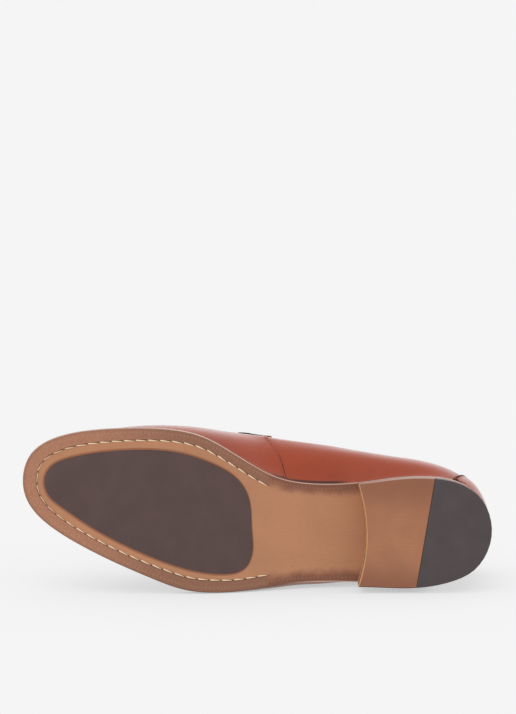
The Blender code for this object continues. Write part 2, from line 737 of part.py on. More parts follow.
class Instep:
    """The upper's outer surface, read by an angle over the instep and a place along the shoe."""

    def __init__(self):
        outer, _ = upper_surfaces()
        rings, ribs, _ = outer.shape
        index = np.arange(rings * ribs).reshape(rings, ribs)
        faces = []
        for low, high in zip(index, index[1:]):
            faces += zip(low, np.roll(low, -1), np.roll(high, -1), high)
        self.tree = BVHTree.FromPolygons([Vector(point) for point in outer.reshape(-1, 3)], faces)

    def hit(self, angle, station):
        """Point of the surface, angle degrees from straight up towards the inner side."""
        way = Vector((0.0, math.sin(math.radians(angle)), math.cos(math.radians(angle))))
        core = Vector((station, 0.0, STRAP_CORE_HEIGHT))
        place, *_ = self.tree.ray_cast(core + way * OUTSIDE_REACH, -way)
        return np.array(place)

    def point(self, angle, station, lift):
        """Point at a height over the surface, and the surface's direction there, taken over a small patch."""
        over = self.hit(angle + PATCH_ANGLE, station) - self.hit(angle - PATCH_ANGLE, station)
        ahead = self.hit(angle, station + PATCH_LENGTH) - self.hit(angle, station - PATCH_LENGTH)
        normal = np.cross(ahead, over)
        normal /= np.linalg.norm(normal)
        return self.hit(angle, station) + normal * lift, normal


def strap_centre(angle):
    """Station of the strap's middle, which sweeps back on its way down the sides."""
    return (STRAP_CENTRE - STRAP_SWEEP * (angle / STRAP_REACH) ** 2) * STRETCH


def strap(instep):
    angles = np.linspace(-STRAP_REACH, STRAP_REACH, STRAP_ROWS)
    across = np.linspace(-0.5, 0.5, STRAP_COLUMNS)
    low = np.zeros((len(angles), len(across), 3))
    high = np.zeros_like(low)
    for row, angle in enumerate(angles):
        for column, share in enumerate(across):
            station = strap_centre(angle) + share * STRAP_WIDTH
            low[row, column], _ = instep.point(angle, station, CURVED_GAP)
            high[row, column], _ = instep.point(angle, station, CURVED_GAP + STRAP_THICK)
    return finish("strap", patch(low, high), COGNAC_LEATHER)


def bit_path(instep, angle, lift):
    """Point over the strap's middle, with the directions along the bit, along the shoe and off the strap."""
    station = strap_centre(angle)
    height = CURVED_GAP + STRAP_THICK + lift
    here, normal = instep.point(angle, station, height)
    ahead, _ = instep.point(angle + BIT_STEP_ANGLE, station, height)
    along = (ahead - here) / np.linalg.norm(ahead - here)
    beside = np.cross(normal, along)
    return here, along, beside / np.linalg.norm(beside), normal


def tube(path, frames, radius):
    """Rings of a round bar along a path."""
    turn = np.linspace(0.0, 2.0 * math.pi, BIT_SIDES, endpoint=False)
    rings = []
    for point, (beside, normal) in zip(path, frames):
        rings.append([point + radius * (math.cos(t) * beside + math.sin(t) * normal) for t in turn])
    return rings


def bit_ring(name, instep, angle):
    here, along, beside, normal = bit_path(instep, angle, GAP + BIT_WIRE_RADIUS)
    path = []
    frames = []
    for turn in np.linspace(0.0, 2.0 * math.pi, BIT_RING_STEPS, endpoint=False):
        spoke = math.cos(turn) * along + math.sin(turn) * beside
        path.append(here + BIT_RING_RADIUS * spoke)
        frames.append((spoke, normal))
    return finish(name, loft(tube(path, frames, BIT_WIRE_RADIUS), ring_of_rings=True), BRASS)


def bit(instep):
    """Bar over the instep that ends in a ring at each side, in one casting."""
    reach = BIT_RING_ANGLE - math.degrees(BIT_RING_RADIUS / INSTEP_RADIUS)
    path = []
    frames = []
    for angle in np.linspace(-reach, reach, BIT_BAR_STEPS):
        here, _, beside, normal = bit_path(instep, angle, GAP + BIT_BAR_RADIUS)
        path.append(here)
        frames.append((beside, normal))
    bar = finish("bit", loft(tube(path, frames, BIT_BAR_RADIUS)), BRASS)
    for name, angle in (("bit_ring_outer", -BIT_RING_ANGLE), ("bit_ring_inner", BIT_RING_ANGLE)):
        ring = bit_ring(name, instep, angle)
        ring.hide_render = True
        ring.display_type = "WIRE"
        joined = bar.modifiers.new(name, "BOOLEAN")
        joined.operation = "UNION"
        joined.object = ring
    return bar


def keeper(name, instep, angle):
    """Leather loop over the bar, with both feet on the strap."""
    here, along, beside, normal = bit_path(instep, angle, GAP + BIT_BAR_RADIUS)
    radius = BIT_BAR_RADIUS + 2.0 * GAP
    turns = np.linspace(0.0, math.pi, KEEPER_STEPS)
    rings = []
    for reach in (radius, radius + KEEPER_THICK):
        arch = [here + reach * (math.cos(turn) * beside + math.sin(turn) * normal) for turn in turns]
        foot = -BIT_BAR_RADIUS * normal
        rings.append([arch[0] + foot, *arch, arch[-1] + foot])
    sections = []
    for shift in (-0.5, 0.5):
        section = [point + shift * KEEPER_WIDTH * along for point in rings[0]]
        section += [point + shift * KEEPER_WIDTH * along for point in reversed(rings[1])]
        sections.append(section)
    return finish(name, loft(sections), COGNAC_LEATHER)


def lie_down(parts):
    """Lays the shoe on its outer side, where it comes to rest, toe along -X and sole in front."""
    turned = Matrix(((-1.0, 0.0, 0.0), (0.0, 0.0, 1.0), (0.0, 1.0, 0.0)))
    graph = bpy.context.evaluated_depsgraph_get()
    points = []
    weight = 0.0
    moment = Vector()
    for part in parts:
        mesh = part.evaluated_get(graph).to_mesh()
        corners = [turned @ vertex.co for vertex in mesh.vertices]
        points += corners
        mesh.calc_loop_triangles()
        for triangle in mesh.loop_triangles:
            a, b, c = (corners[index] for index in triangle.vertices)
            volume = a.dot(b.cross(c)) / 6.0
            weight += volume
            moment += volume * (a + b + c) / 4.0
        part.evaluated_get(graph).to_mesh_clear()
    middle = moment / weight
    hull = bmesh.new()
    corners = [hull.verts.new(point) for point in points]
    bmesh.ops.convex_hull(hull, input=corners)
    tree = BVHTree.FromBMesh(hull)
    down = Vector((0.0, 0.0, -1.0))
    for _ in range(SETTLE_TURNS):
        _, normal, *_ = tree.ray_cast(middle, down)
        normal = normal if normal.dot(down) > 0.0 else -normal
        if normal.dot(down) > 1.0 - 1e-9:
            break
        down = normal
    hull.free()
    settle = down.rotation_difference(Vector((0.0, 0.0, -1.0))).to_matrix()
    heading = settle @ Vector((1.0, 0.0, 0.0))
    square = Matrix.Rotation(-math.atan2(heading.y, heading.x), 3, "Z")
    turn = square @ settle
    placed = np.array([turn @ point for point in points])
    low = placed.min(axis=0)
    high = placed.max(axis=0)
    shift = Vector((-(low[0] + high[0]) / 2.0, -(low[1] + high[1]) / 2.0, -low[2]))
    stand = bpy.data.objects.new("lying_shoe", None)
    bpy.context.collection.objects.link(stand)
    stand.matrix_world = Matrix.Translation(shift) @ (turn @ turned).to_4x4()
    for obj in bpy.data.objects:
        if obj.type == "MESH":
            obj.parent = stand


def main():
    for obj in list(bpy.data.objects):
        bpy.data.objects.remove(obj)
    pad = pad_curve()
    pad_outline = pad.at(pad.spread(PAD_POINTS))
    instep = Instep()
    outsole(pad_outline)
    forefoot_pad(pad_outline)
    welt()
    heel_stack()
    top_pieces()
    insole()
    upper()
    counter()
    strap(instep)
    bit(instep)
    keeper("keeper_outer", instep, -KEEPER_ANGLE)
    keeper("keeper_inner", instep, KEEPER_ANGLE)
    lie_down([obj for obj in bpy.data.objects if obj.type == "MESH" and not obj.hide_render])


main()
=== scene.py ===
"""Looks of a right-foot bit loafer that lies empty on its outer side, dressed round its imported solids.

The pieces are modelled in the shoe's own frame, in millimetres: x runs from the back of the heel to the toe,
y towards the inner side of the foot and z up from the ground that the sole would stand on. A finished piece
is then set into the row frame, in metres.
"""

import json
import math

import bmesh
import bpy
import numpy as np
from bpy.props import FloatProperty, FloatVectorProperty, PointerProperty
from mathutils import Matrix, Vector
from mathutils.bvhtree import BVHTree
from mathutils.kdtree import KDTree


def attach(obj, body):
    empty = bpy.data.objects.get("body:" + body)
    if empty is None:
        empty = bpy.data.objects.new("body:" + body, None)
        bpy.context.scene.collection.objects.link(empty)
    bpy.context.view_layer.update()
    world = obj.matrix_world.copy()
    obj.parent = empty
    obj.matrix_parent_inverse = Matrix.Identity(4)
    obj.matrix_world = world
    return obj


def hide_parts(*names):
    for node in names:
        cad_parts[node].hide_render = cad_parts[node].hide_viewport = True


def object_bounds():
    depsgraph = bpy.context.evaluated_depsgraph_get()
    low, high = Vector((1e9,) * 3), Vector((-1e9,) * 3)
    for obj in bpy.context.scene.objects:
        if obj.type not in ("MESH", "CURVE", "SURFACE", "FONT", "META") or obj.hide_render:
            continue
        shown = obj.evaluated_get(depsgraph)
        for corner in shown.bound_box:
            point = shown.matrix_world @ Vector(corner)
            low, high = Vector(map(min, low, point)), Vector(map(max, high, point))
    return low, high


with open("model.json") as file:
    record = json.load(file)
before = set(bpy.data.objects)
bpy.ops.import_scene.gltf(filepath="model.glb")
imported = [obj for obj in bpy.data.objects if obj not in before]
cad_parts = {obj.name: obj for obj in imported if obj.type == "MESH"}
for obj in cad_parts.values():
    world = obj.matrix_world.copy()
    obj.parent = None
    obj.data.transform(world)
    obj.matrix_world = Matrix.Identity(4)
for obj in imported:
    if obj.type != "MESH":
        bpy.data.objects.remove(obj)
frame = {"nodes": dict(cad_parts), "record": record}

bl_info = {
    "name": "Bit loafer looks",
    "version": (1, 0, 0),
    "blender": (4, 5, 0),
    "location": "3D View > Sidebar > Loafer",
    "description": "Dresses the solids of a bit loafer in leather, rubber, thread and metal",
    "category": "Object",
}

MM = 0.001
CAD_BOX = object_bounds()

# Stage: the picture in pixels, the sensor in millimetres and the rest in metres
PICTURE_SIZE = (516, 714)
SENSOR_WIDTH = 36.0
FLOOR_HALF = 60.0
KEY_PLACE = (-0.5, -0.9, 1.6)
SOFTBOX_PLACE = (0.0, 1.3, 0.85)
SOFTBOX_SIZE = (2.4, 1.1)

# Shadows on the floor, a wide and a close one: reach in metres, how open to the light a spot is where the
# shadow is full and where it ends, and its depth
SHADOWS = ((0.15, 0.0, 1.0, 0.3), (0.007, 0.0, 0.3, 0.4))
SHADOW_RAYS = 4

# From here on lengths are in millimetres and angles in degrees. Stations run from the back of the heel.
HEEL_FACE_STATION = 60.0
MERGE_DISTANCE = 0.01
CUT_DISTANCE = 1e-4
SPLINE_FINENESS = 4

# How far a face's normal has to point a way for the face to count as looking there
RIM_FACING = 0.7
LEVEL_FACING = 0.9
HEEL_FACING = 0.8

# Angles between faces: nearly flat ones are joined, sharp ones rounded off, and others shaded as edges
FLAT_ANGLE = 1.0
SHARP_ANGLE = 50.0
RIM_ANGLE = 60.0
SHADE_ANGLE = 35.0
HEEL_SHADE_ANGLE = 25.0
SMOOTH_LEVELS = 2

# Sole: columns along the edge, rings inside it, and the channel cut for the stitches
COLUMN_STEP = 0.9
STRIP_STEP = 4.0
EDGE_NEAR = 0.3
EDGE_ROUND = 0.8
EDGE_SEGMENTS = 3
EDGE_RINGS = (1.8, 3.6, 6.0, 8.6, 9.2, 9.5, 10.2, 10.5, 12.5)
INSET_START = 0.1
LEAN_REACH = 5.0
LEVEL_SPARE = 0.2
CHANNEL_BAND = (9.3, 10.35)
CHANNEL_MIDDLE = 9.95
CHANNEL_DEPTH = 0.5
CHANNEL_FADE = 4.0

# How the rings close up along the sole: stations with the share of their distance kept there, on each side
RINGS_INNER = ((140.0, 0.75), (175.0, 0.66), (210.0, 0.78), (260.0, 0.85), (306.0, 0.94))
RINGS_OUTER = ((145.0, 0.78), (165.0, 0.79), (193.0, 0.89), (230.0, 0.8), (270.0, 0.845), (306.0, 0.94))
RING_EASE = 31

# Margin of the sole: stations where it gets lighter, the wheel's marks, their place inside the edge and in
# each beat, where the stain ends beside the stitches and along the waist, and the channel's painted shade
# line
TOE_STATIONS = (195.0, 275.0)
WHEEL_PITCH = 2.6
WHEEL_SLANT = 0.7
WHEEL_BEAT = (0.4, 0.58, 0.12)
WHEEL_LINE = (3.2, 4.2, 0.35)
STAIN_CUT = (9.3, 9.9)
STAIN_WAIST = (3.0, 13.0)
STAIN_RAGGED = 1.6
CHANNEL_SHADE_LINE = (9.25, 9.75, 0.2)

# Painted highlight and shade on the corner of the sole's edge: where they fade out inside the edge, up its
# side and towards the toe, how strong they are, and from where across and along the sole the highlight is
# painted instead of the shade
CORNER_LINE = (0.3, 0.8)
CORNER_HEIGHT = (0.5, 1.0)
CORNER_TOE = (200.0, 250.0)
CORNER_SHARE = 0.75
CORNER_SIDE = (0.0, 12.0)
CORNER_TURN = (105.0, 138.0)

# Sole stitches: how they lie, and the stations where they are rubbed to the leather's tone
STITCH_SINK = -0.05
STITCH_TAPER = 0.45
STITCH_SLANT = 3.0
STITCH_SIDES = 8
STITCH_ENDS = 0.4
RUBBED_STATIONS = (262.0, 290.0)
RUBBED_SHARE = 0.5

# Forefoot rubber, its pocket and the brown line round it: a flat sheet for the pocket's stained cut wall,
# with painted shade of the gap
PAD_POINTS = 320
PAD_ROUND = 0.15
PAD_RIM_ROUND = 0.15
PAD_CLEARANCE = 0.3
PAD_GROOVE = 0.08
PAD_LINE = (0.05, 1.35)
PAD_LINE_PROUD = 0.03
PAD_LINE_THINNED = 0.6

# Heel: its rounded edges, the heights of the glue line and of the pale edge above it, where its sides get
# darker across the shoe, and the painted shade on the lower edge of its outer side: how far out its faces
# look, and how dark it is
HEEL_ROUND = 0.5
CUT_ROUND = 0.7
GLUE_LINE = (6.5, 12.0, 0.6)
PALE_HEIGHT = (12.0, 13.0)
HEEL_INNER_SIDE = (4.0, 34.0)
HEEL_OUTER_SIDE = (-36.0, -16.0)
HEEL_EDGE_SIDE = -0.2
HEEL_EDGE_SHADE = 0.2

# What the reddish tint of the heel's darker sides and painted edge shade, and the stain of the waist's
# margin, leave of red, green and blue
HEEL_RED_TINT = (1.0, 0.86, 0.82)
WAIST_STAIN = (0.94, 0.72, 0.64)

# Rounded edges of the other leather pieces, the first station of the welt's stitches, and how far ahead the
# cut edges look that are inked
WELT_ROUND = 0.4
WELT_SEWN_FROM = 95.0
UPPER_RIM_ROUND = 0.55
OVERLAY_ROUND = 0.4
INSOLE_ROUND = 0.9
INK_FRONT = -0.3

# Where the upper's wall is met from inside, above the sole, and from outside
PROBE_STATION = 220.0
PROBE_SIDE = 5.0
PROBE_INSIDE = 16.0
PROBE_ABOVE = 300.0

# Side seams of the vamp: where they start on the feather line, and how they are drawn in to a sharp step
SEAM_STATIONS = (125.0, 150.0)
SEAM_DRAWN = 0.62
SEAM_CREASE = 0.85
SEAM_LOW = 25.0

# Bow of the inner side seam: heights, how far it is moved towards the toe there, and how wide that reaches
SEAM_HEIGHTS = (15.0, 23.0, 29.0, 34.0, 41.0, 48.0, 62.0, 86.0)
SEAM_BOW = (0.0, -0.7, -1.9, -0.6, 2.8, 4.2, 2.5, 0.0)
SEAM_REACH = 18.0

# Swell of the heel's inner side: stations and how far out there, the height it starts at and how it comes in
SWELL_STATIONS = (5.0, 20.0, 30.0, 60.0, 75.0, 95.0)
SWELL = (0.2, 1.2, 1.0, 0.9, 0.5, 0.0)
SWELL_LOW = 14.0
SWELL_WIDTH = 18.0
COUNTER_SWELL = 0.8
COUNTER_STRETCH = 3.3

# Lie of the strap on the inner side: stations, how far its outer face is moved out there, and where it starts
STRAP_STATIONS = (147.0, 151.0, 155.0, 159.0, 162.5, 166.0, 172.0)
STRAP_RISE = (0.0, -0.3, -0.6, -0.25, 0.6, 1.2, 1.3)
STRAP_SIDE = 36.0
STRAP_EASE = 10.0

# Painted shade of the crevice where the upper goes in under the inner waist
TUCK_LIMITS = (0.45, 0.65)
TUCK_LINE = (104.0, 140.0, 10.0)
TUCK_SHADE = 0.25

# The apron's raised seam: where it starts, how sharp its edges are and how wide its top is
CREST_START = 165.0
CREST_ANGLE = 28.0
CREST_WIDTH = 2.7

# Stitches of the upper and welt: pitch, length and thickness, then how far beside an edge their rows are
FINE_STITCH = (3.2, 2.6, 0.55)
APRON_STITCH = (5.0, 3.4, 0.8)
WELT_STITCH = (5.5, 4.4, 0.9)
TOPLINE_SHIFT = 2.5
SEAM_SHIFT = 1.7
OVERLAY_SHIFT = 1.8
WELT_SHIFT = 2.2

# Settings of nodes that mix colours, with the output that gives the colour, and that ease between limits
COLOURS = {"output": 2, "data_type": "RGBA"}
EASED = {"interpolation_type": "SMOOTHSTEP"}


def linear(colour):
    """Linear red, green and blue of an sRGB hex colour."""
    channels = [int(colour[place:place + 2], 16) / 255.0 for place in (1, 3, 5)]
    return [c / 12.92 if c <= 0.04045 else ((c + 0.055) / 1.055) ** 2.4 for c in channels]


def shoe_to_row():
    """Matrix from shoe millimetres to row metres, read from the two flat faces the shoe stands on."""
    mounts = {mount["name"]: mount for mount in frame["record"]["mounts"]}
    heel = Vector(mounts["heel_face"]["pos_m"])
    ahead = (Vector(mounts["forefoot_face"]["pos_m"]) - heel).normalized()
    up = -Vector(mounts["heel_face"]["axis"]).normalized()
    turn = Matrix((ahead, up.cross(ahead), up)).transposed().to_4x4()
    back = heel - ahead * HEEL_FACE_STATION * MM
    return Matrix.Translation(back) @ turn @ Matrix.Scale(MM, 4)


SHOE = shoe_to_row()
ROW_TO_SHOE = SHOE.inverted()


def colour_property(name, description, colour):
    return FloatVectorProperty(
        name=name, description=description, subtype="COLOR", size=3, min=0.0, max=1.0, default=linear(colour)
    )


def length_property(name, description, millimetres):
    return FloatProperty(
        name=name, description=description, default=millimetres * MM, subtype="DISTANCE", unit="LENGTH"
    )


class SoleLooks(bpy.types.PropertyGroup):
    leather: colour_property("Sole leather", "Natural tan of the waist and round the rubber", "#BE845F")
    margin: colour_property("Burnished margin", "Stained and rubbed leather outside the stitches", "#A06D53")
    wheel: colour_property("Wheel marks", "Rubbed bottoms of the pressed marks", "#C09478")
    # Colour of the painted highlight on the sole's edge corner, also the pale edge on the heel's hollow front
    corner: colour_property("Edge corner", "Rubbed corner of the sole's edge", "#DDB9A6")
    recess: colour_property("Pocket wall", "Cut leather round the inlaid rubber", "#A5694A")
    heel: colour_property("Heel leather", "Leather in front of the heel's rubber", "#AE724F")
    raw_edge: colour_property("Raw edge", "Cut leather on the heel's hollow front", "#D29A63")
    glue: colour_property("Glue line", "Dark glue between the heel's layers", "#6A3F22")
    rubber: colour_property("Rubber", "Inlaid rubber of the forefoot", "#533E3A")
    heel_rubber: colour_property("Heel rubber", "Rubber at the back of the heel", "#493F40")
    thread: colour_property("Sole thread", "Waxed linen of the sole and welt stitching", "#FFE2BC")
    stitch_pitch: length_property("Stitch pitch", "From one sole stitch to the next", 7.8)
    stitch_length: length_property("Stitch length", "Thread that shows of one sole stitch", 7.0)
    stitch_thick: length_property("Thread thickness", "Across the sole thread", 0.75)
    stitch_start: length_property("Stitching start", "Station of the first stitch, inner waist", 146.0)
    stitch_end: length_property("Stitching end", "Station of the last stitch, outer waist", 139.5)


class UpperLooks(bpy.types.PropertyGroup):
    leather: colour_property("Upper leather", "Polished cognac calf", "#A43D13")
    shade: colour_property("Burnished shade", "Deeper brown rubbed into the calf", "#8A2E0E")
    lining: colour_property("Lining", "Undyed lining leather", "#C69A6C")
    edge: colour_property("Edge ink", "Ink on the cut edge of the topline and strap", "#3A2019")
    insole: colour_property("Insole", "Leather sock over the insole", "#B98A5C")
    thread: colour_property("Upper thread", "Thread of the upper's seams", "#9A4528")
    brass: colour_property("Bit", "Polished brass of the bit", "#DCC79A")


class StageLooks(bpy.types.PropertyGroup):
    floor: colour_property("Floor", "White seamless floor that is lit from behind", "#F5F5F5")
    camera_distance: length_property("Camera distance", "From the camera to the shoe", 3000.0)
    camera_yaw: FloatProperty(
        name="Camera yaw", description="Turn of the camera about the shoe, towards the heel",
        default=math.radians(-0.217), subtype="ANGLE", unit="ROTATION")
    camera_rise: FloatProperty(
        name="Camera rise", description="Angle of the camera above the floor",
        default=math.radians(9.0), subtype="ANGLE", unit="ROTATION")
    pixels_per_mm: FloatProperty(
        name="Picture scale", description="Pixels for one millimetre of the shoe", default=1.5236, min=0.1)
    aim_right: length_property("Aim right", "From the shoe's middle to the picture's, to the right", 0.11)
    aim_up: length_property("Aim up", "From the shoe's middle to the picture's, upwards", 92.88)
    room_light: FloatProperty(
        name="Room light", description="Strength of the white light from all round", default=0.82, min=0.0)
    key_light: FloatProperty(
        name="Key light", description="Strength of the large soft light overhead", default=0.5, min=0.0)
    key_softness: FloatProperty(
        name="Key softness", description="Angle that the key light fills", default=math.radians(60.0),
        subtype="ANGLE", unit="ROTATION")
    softbox: FloatProperty(
        name="Softbox", description="Power of the softbox that the polish mirrors", default=12.0, min=0.0)


# Reading the solids


def cad_copy(node, quads=False):
    """Solid of a node as a bmesh in shoe millimetres, its triangles merged and, if asked, joined in pairs."""
    bm = bmesh.new()
    bm.from_mesh(frame["nodes"][node].data)
    bmesh.ops.transform(bm, matrix=ROW_TO_SHOE, verts=bm.verts)
    bmesh.ops.remove_doubles(bm, verts=bm.verts, dist=MERGE_DISTANCE)
    bm.normal_update()
    if quads:
        bmesh.ops.join_triangles(
            bm, faces=bm.faces, angle_face_threshold=math.pi, angle_shape_threshold=math.pi
        )
    return bm


def loops_of(edges):
    """Closed loops of points that the edges make up, the longest first."""
    neighbours = {}
    for edge in edges:
        first, second = edge.verts
        neighbours.setdefault(first, []).append(second)
        neighbours.setdefault(second, []).append(first)
    loops = []
    while neighbours:
        place = next(iter(neighbours))
        loop = []
        while place in neighbours:
            loop.append(np.array(place.co))
            onward = [vert for vert in neighbours.pop(place) if vert in neighbours]
            place = onward[0] if onward else None
        loops.append(np.array(loop))
    return sorted(loops, key=lambda loop: -np.linalg.norm(np.diff(loop, axis=0), axis=1).sum())


def rim_loops(node, below=True):
    """Loops where the faces of a node that look down, or up, meet its sides."""
    bm = cad_copy(node)
    way = -1.0 if below else 1.0
    edges = []
    for edge in bm.edges:
        tilts = sorted(way * face.normal.z for face in edge.link_faces)
        if len(tilts) == 2 and tilts[0] < RIM_FACING < tilts[1]:
            edges.append(edge)
    found = loops_of(edges)
    bm.free()
    return found


def closed_spline(points, count):
    """Evenly spaced points on a smooth closed curve through the points given."""
    sides = np.linalg.norm(np.roll(points, -1, axis=0) - points, axis=1)
    size = len(points)
    before = np.roll(sides, 1)
    rise = (np.roll(points, -1, axis=0) - points) / sides[:, None]
    rows = np.arange(size)
    system = np.zeros((size, size))
    system[rows, rows] = 2.0 * (before + sides)
    system[rows, rows - 1] += before
    system[rows, (rows + 1) % size] += sides
    bend = np.linalg.solve(system, 6.0 * (rise - np.roll(rise, 1, axis=0)))
    knots = np.concatenate([[0.0], np.cumsum(sides)])
    places = np.linspace(0.0, knots[-1], SPLINE_FINENESS * count, endpoint=False)
    part = np.searchsorted(knots, places, side="right") - 1
    width = sides[part][:, None]
    share = ((places - knots[part]) / sides[part])[:, None]
    left = 1.0 - share
    after = (part + 1) % size
    fine = left * points[part] + share * points[after]
    fine += ((left**3 - left) * bend[part] + (share**3 - share) * bend[after]) * width**2 / 6.0
    lengths = np.linalg.norm(np.roll(fine, -1, axis=0) - fine, axis=1)
    along = np.concatenate([[0.0], np.cumsum(lengths)])
    even = np.linspace(0.0, along[-1], count, endpoint=False)
    looped = np.vstack([fine, fine[:1]])
    return np.stack([np.interp(even, along, looped[:, axis]) for axis in range(3)], axis=1)


def from_heel_back(loop):
    """The loop turned so that it starts at the heel's back and runs along the inner side first."""
    plan = loop[:, :2]
    following = np.roll(plan, -1, axis=0)
    area = np.sum(plan[:, 0] * following[:, 1] - following[:, 0] * plan[:, 1])
    if area > 0.0:
        loop = loop[::-1]
    return np.roll(loop, -int(np.argmin(loop[:, 0])), axis=0)


def smooth_step(share):
    share = min(max(float(share), 0.0), 1.0)
    return share * share * (3.0 - 2.0 * share)


def run_lengths(path):
    """How far along an open path each of its points is."""
    return np.concatenate([[0.0], np.cumsum(np.linalg.norm(np.diff(path, axis=0), axis=1))])


def point_at(path, lengths, distance):
    """Point at a distance along an open path."""
    return [np.interp(distance, lengths, axis) for axis in path.T]


def plan_tree(points):
    """Search tree over points in plan."""
    tree = KDTree(len(points))
    for index, point in enumerate(points):
        tree.insert((point[0], point[1], 0.0), index)
    tree.balance()
    return tree


class SoleRim:
    """Edge of the outsole's underside in even columns, from the heel's back by the inner side and the toe."""

    def __init__(self):
        loop = from_heel_back(rim_loops("outsole")[0])
        length = np.linalg.norm(np.roll(loop, -1, axis=0) - loop, axis=1).sum()
        self.count = round(length / COLUMN_STEP)
        self.points = closed_spline(loop, self.count)
        self.step = length / self.count
        self.tip = int(np.argmax(self.points[:, 0]))
        along = np.roll(self.points, -1, axis=0) - np.roll(self.points, 1, axis=0)
        self.tangent = along[:, :2] / np.linalg.norm(along[:, :2], axis=1, keepdims=True)
        self.inward = np.stack([self.tangent[:, 1], -self.tangent[:, 0]], axis=1)
        top = closed_spline(from_heel_back(rim_loops("outsole", below=False)[0]), self.count)
        self.thick = float(np.median(top[:, 2] - self.points[:, 2]))
        self.lean = self.lean_to(top)
        inner = self.points[: self.tip]
        self.stations = np.maximum.accumulate(inner[:, 0])
        self.heights = inner[:, 2]
        kept = [np.interp(self.points[:, 0], *zip(*table)) for table in (RINGS_INNER, RINGS_OUTER)]
        share = np.where(np.arange(self.count) < self.tip, *kept)
        reach = RING_EASE // 2
        wrapped = np.concatenate([share[-reach:], share, share[:reach]])
        self.share = np.convolve(wrapped, np.ones(RING_EASE) / RING_EASE, mode="valid")
        self.tree = plan_tree(self.points)

    def lean_to(self, top):
        """How far the upper edge stands out beyond the lower one, column by column."""
        tree = plan_tree(top)
        lean = []
        for point, inward in zip(self.points, self.inward):
            nearest, _, _ = tree.find((point[0], point[1], 0.0))
            lean.append(-float(np.dot(np.array(nearest.xy) - point[:2], inward)))
        return np.array(lean)

    def height(self, station):
        """Height of the sole's underside at a station."""
        return float(np.interp(station, self.stations, self.heights))

    def column(self, point):
        """Nearest column to a point in plan, and how far inside the edge the point is."""
        _, index, distance = self.tree.find((point[0], point[1], 0.0))
        return index, distance

    def column_at(self, station, inner):
        """Column at a station of the inner or the outer side."""
        side = range(0, self.tip) if inner else range(self.tip, self.count)
        return min(side, key=lambda index: abs(self.points[index, 0] - station))

    def inside(self, index, distance):
        """Plan point inside the edge, at a distance of the rings."""
        return self.points[index, :2] + self.inward[index] * distance * self.share[index]


RIM = SoleRim()


# Making pieces


def tinted(colour, share, stain=(1.0, 1.0, 1.0)):
    """A colour darkened to a share, and further in each of its channels by a stain."""
    return [channel * share * cut for channel, cut in zip(colour, stain)]


def span(value, low, high, at_low=0.0, at_high=1.0):
    """Inputs that carry a value from one range to another."""
    return {"Value": value, "From Min": low, "From Max": high, "To Min": at_low, "To Max": at_high}


def mixed(share, first, second):
    """Inputs that mix two colours by a share."""
    return {0: share, 6: first, 7: second}


class Finish:
    """A material under way: its tree, its shader, and shoe millimetres as coordinates for its patterns."""

    def __init__(self, name, **sockets):
        self.material = bpy.data.materials.new(name)
        self.material.use_nodes = True
        self.tree = self.material.node_tree
        self.shader = self.tree.nodes["Principled BSDF"]
        for socket, value in sockets.items():
            self.give(socket.replace("_", " "), value)
        self.shoe = self.add("Mapping", {
            "Vector": self.add("TexCoord", {}, "Object"),
            "Location": ROW_TO_SHOE.to_translation(),
            "Rotation": ROW_TO_SHOE.to_euler(),
            "Scale": (1.0 / MM,) * 3,
        })

    def add(self, kind, inputs, output=0, **settings):
        """Adds a node with its settings, its inputs set or linked, and returns one of its outputs."""
        node = self.tree.nodes.new("ShaderNode" + kind)
        for name, value in settings.items():
            setattr(node, name, value)
        for name, value in inputs.items():
            self.feed(node.inputs[name], value)
        return node.outputs[output]

    def feed(self, socket, value):
        """Links a socket to another one, or sets it to a number or a colour."""
        if isinstance(value, bpy.types.NodeSocket):
            self.tree.links.new(value, socket)
        elif socket.type == "RGBA":
            socket.default_value = (*value, 1.0)
        else:
            socket.default_value = value

    def give(self, socket, value):
        self.feed(self.shader.inputs[socket], value)

    def lumps(self, size, detail=3.0, stretch=(1.0, 1.0, 1.0)):
        """Pattern from 0 to 1 in lumps of about size millimetres, longer along axes with stretch over 1."""
        scale = [1.0 / (size * each) for each in stretch]
        place = self.add("Mapping", {"Vector": self.shoe, "Scale": scale})
        return self.add("TexNoise", {"Vector": place, "Scale": 1.0, "Detail": detail})

    def tone(self, first, second, *limits):
        """Pattern of two colours, with the second one's share going with a value and its limits."""
        share = self.add("MapRange", span(*limits), **EASED)
        return self.add("Mix", mixed(share, first, second), **COLOURS)

    def band(self, value, low, high, soft):
        """Pattern that is 1 where a value lies between two limits, fading over a soft width outside them."""
        risen = self.add("MapRange", span(value, low - soft, low), **EASED)
        fallen = self.add("MapRange", span(value, high, high + soft, 1.0, 0.0), **EASED)
        return self.add("Math", {0: risen, 1: fallen}, operation="MULTIPLY")

    def mottle(self, colour, share, lumps):
        """Colour that darkens to a share of itself in the lumps of a pattern."""
        shown = self.add("Mix", mixed(lumps, colour, tinted(colour, share)), **COLOURS)
        self.give("Base Color", shown)

    def pit(self, size, depth):
        """Fine relief of pits of about size millimetres, depth millimetres deep."""
        pits = self.lumps(size, detail=2.0)
        self.give("Normal", self.add("Bump", {"Height": pits, "Distance": depth * MM}))


def place_piece(name, bm, materials, nodes=(), sharp_angle=SHADE_ANGLE):
    """Sets a bmesh in shoe millimetres into the row frame as a piece that rides on the shoe."""
    bmesh.ops.transform(bm, matrix=SHOE, verts=bm.verts)
    mesh = bpy.data.meshes.new(name)
    bm.to_mesh(mesh)
    bm.free()
    for layer in ("custom_normal", "sharp_edge"):
        if layer in mesh.attributes:
            mesh.attributes.remove(mesh.attributes[layer])
    for material in materials:
        mesh.materials.append(material)
    mesh.shade_smooth()
    mesh.set_sharp_from_angle(angle=math.radians(sharp_angle))
    piece = bpy.data.objects.new(name, mesh)
    bpy.context.scene.collection.objects.link(piece)
    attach(piece, "root")
    if nodes:
        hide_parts(*nodes)
    return piece


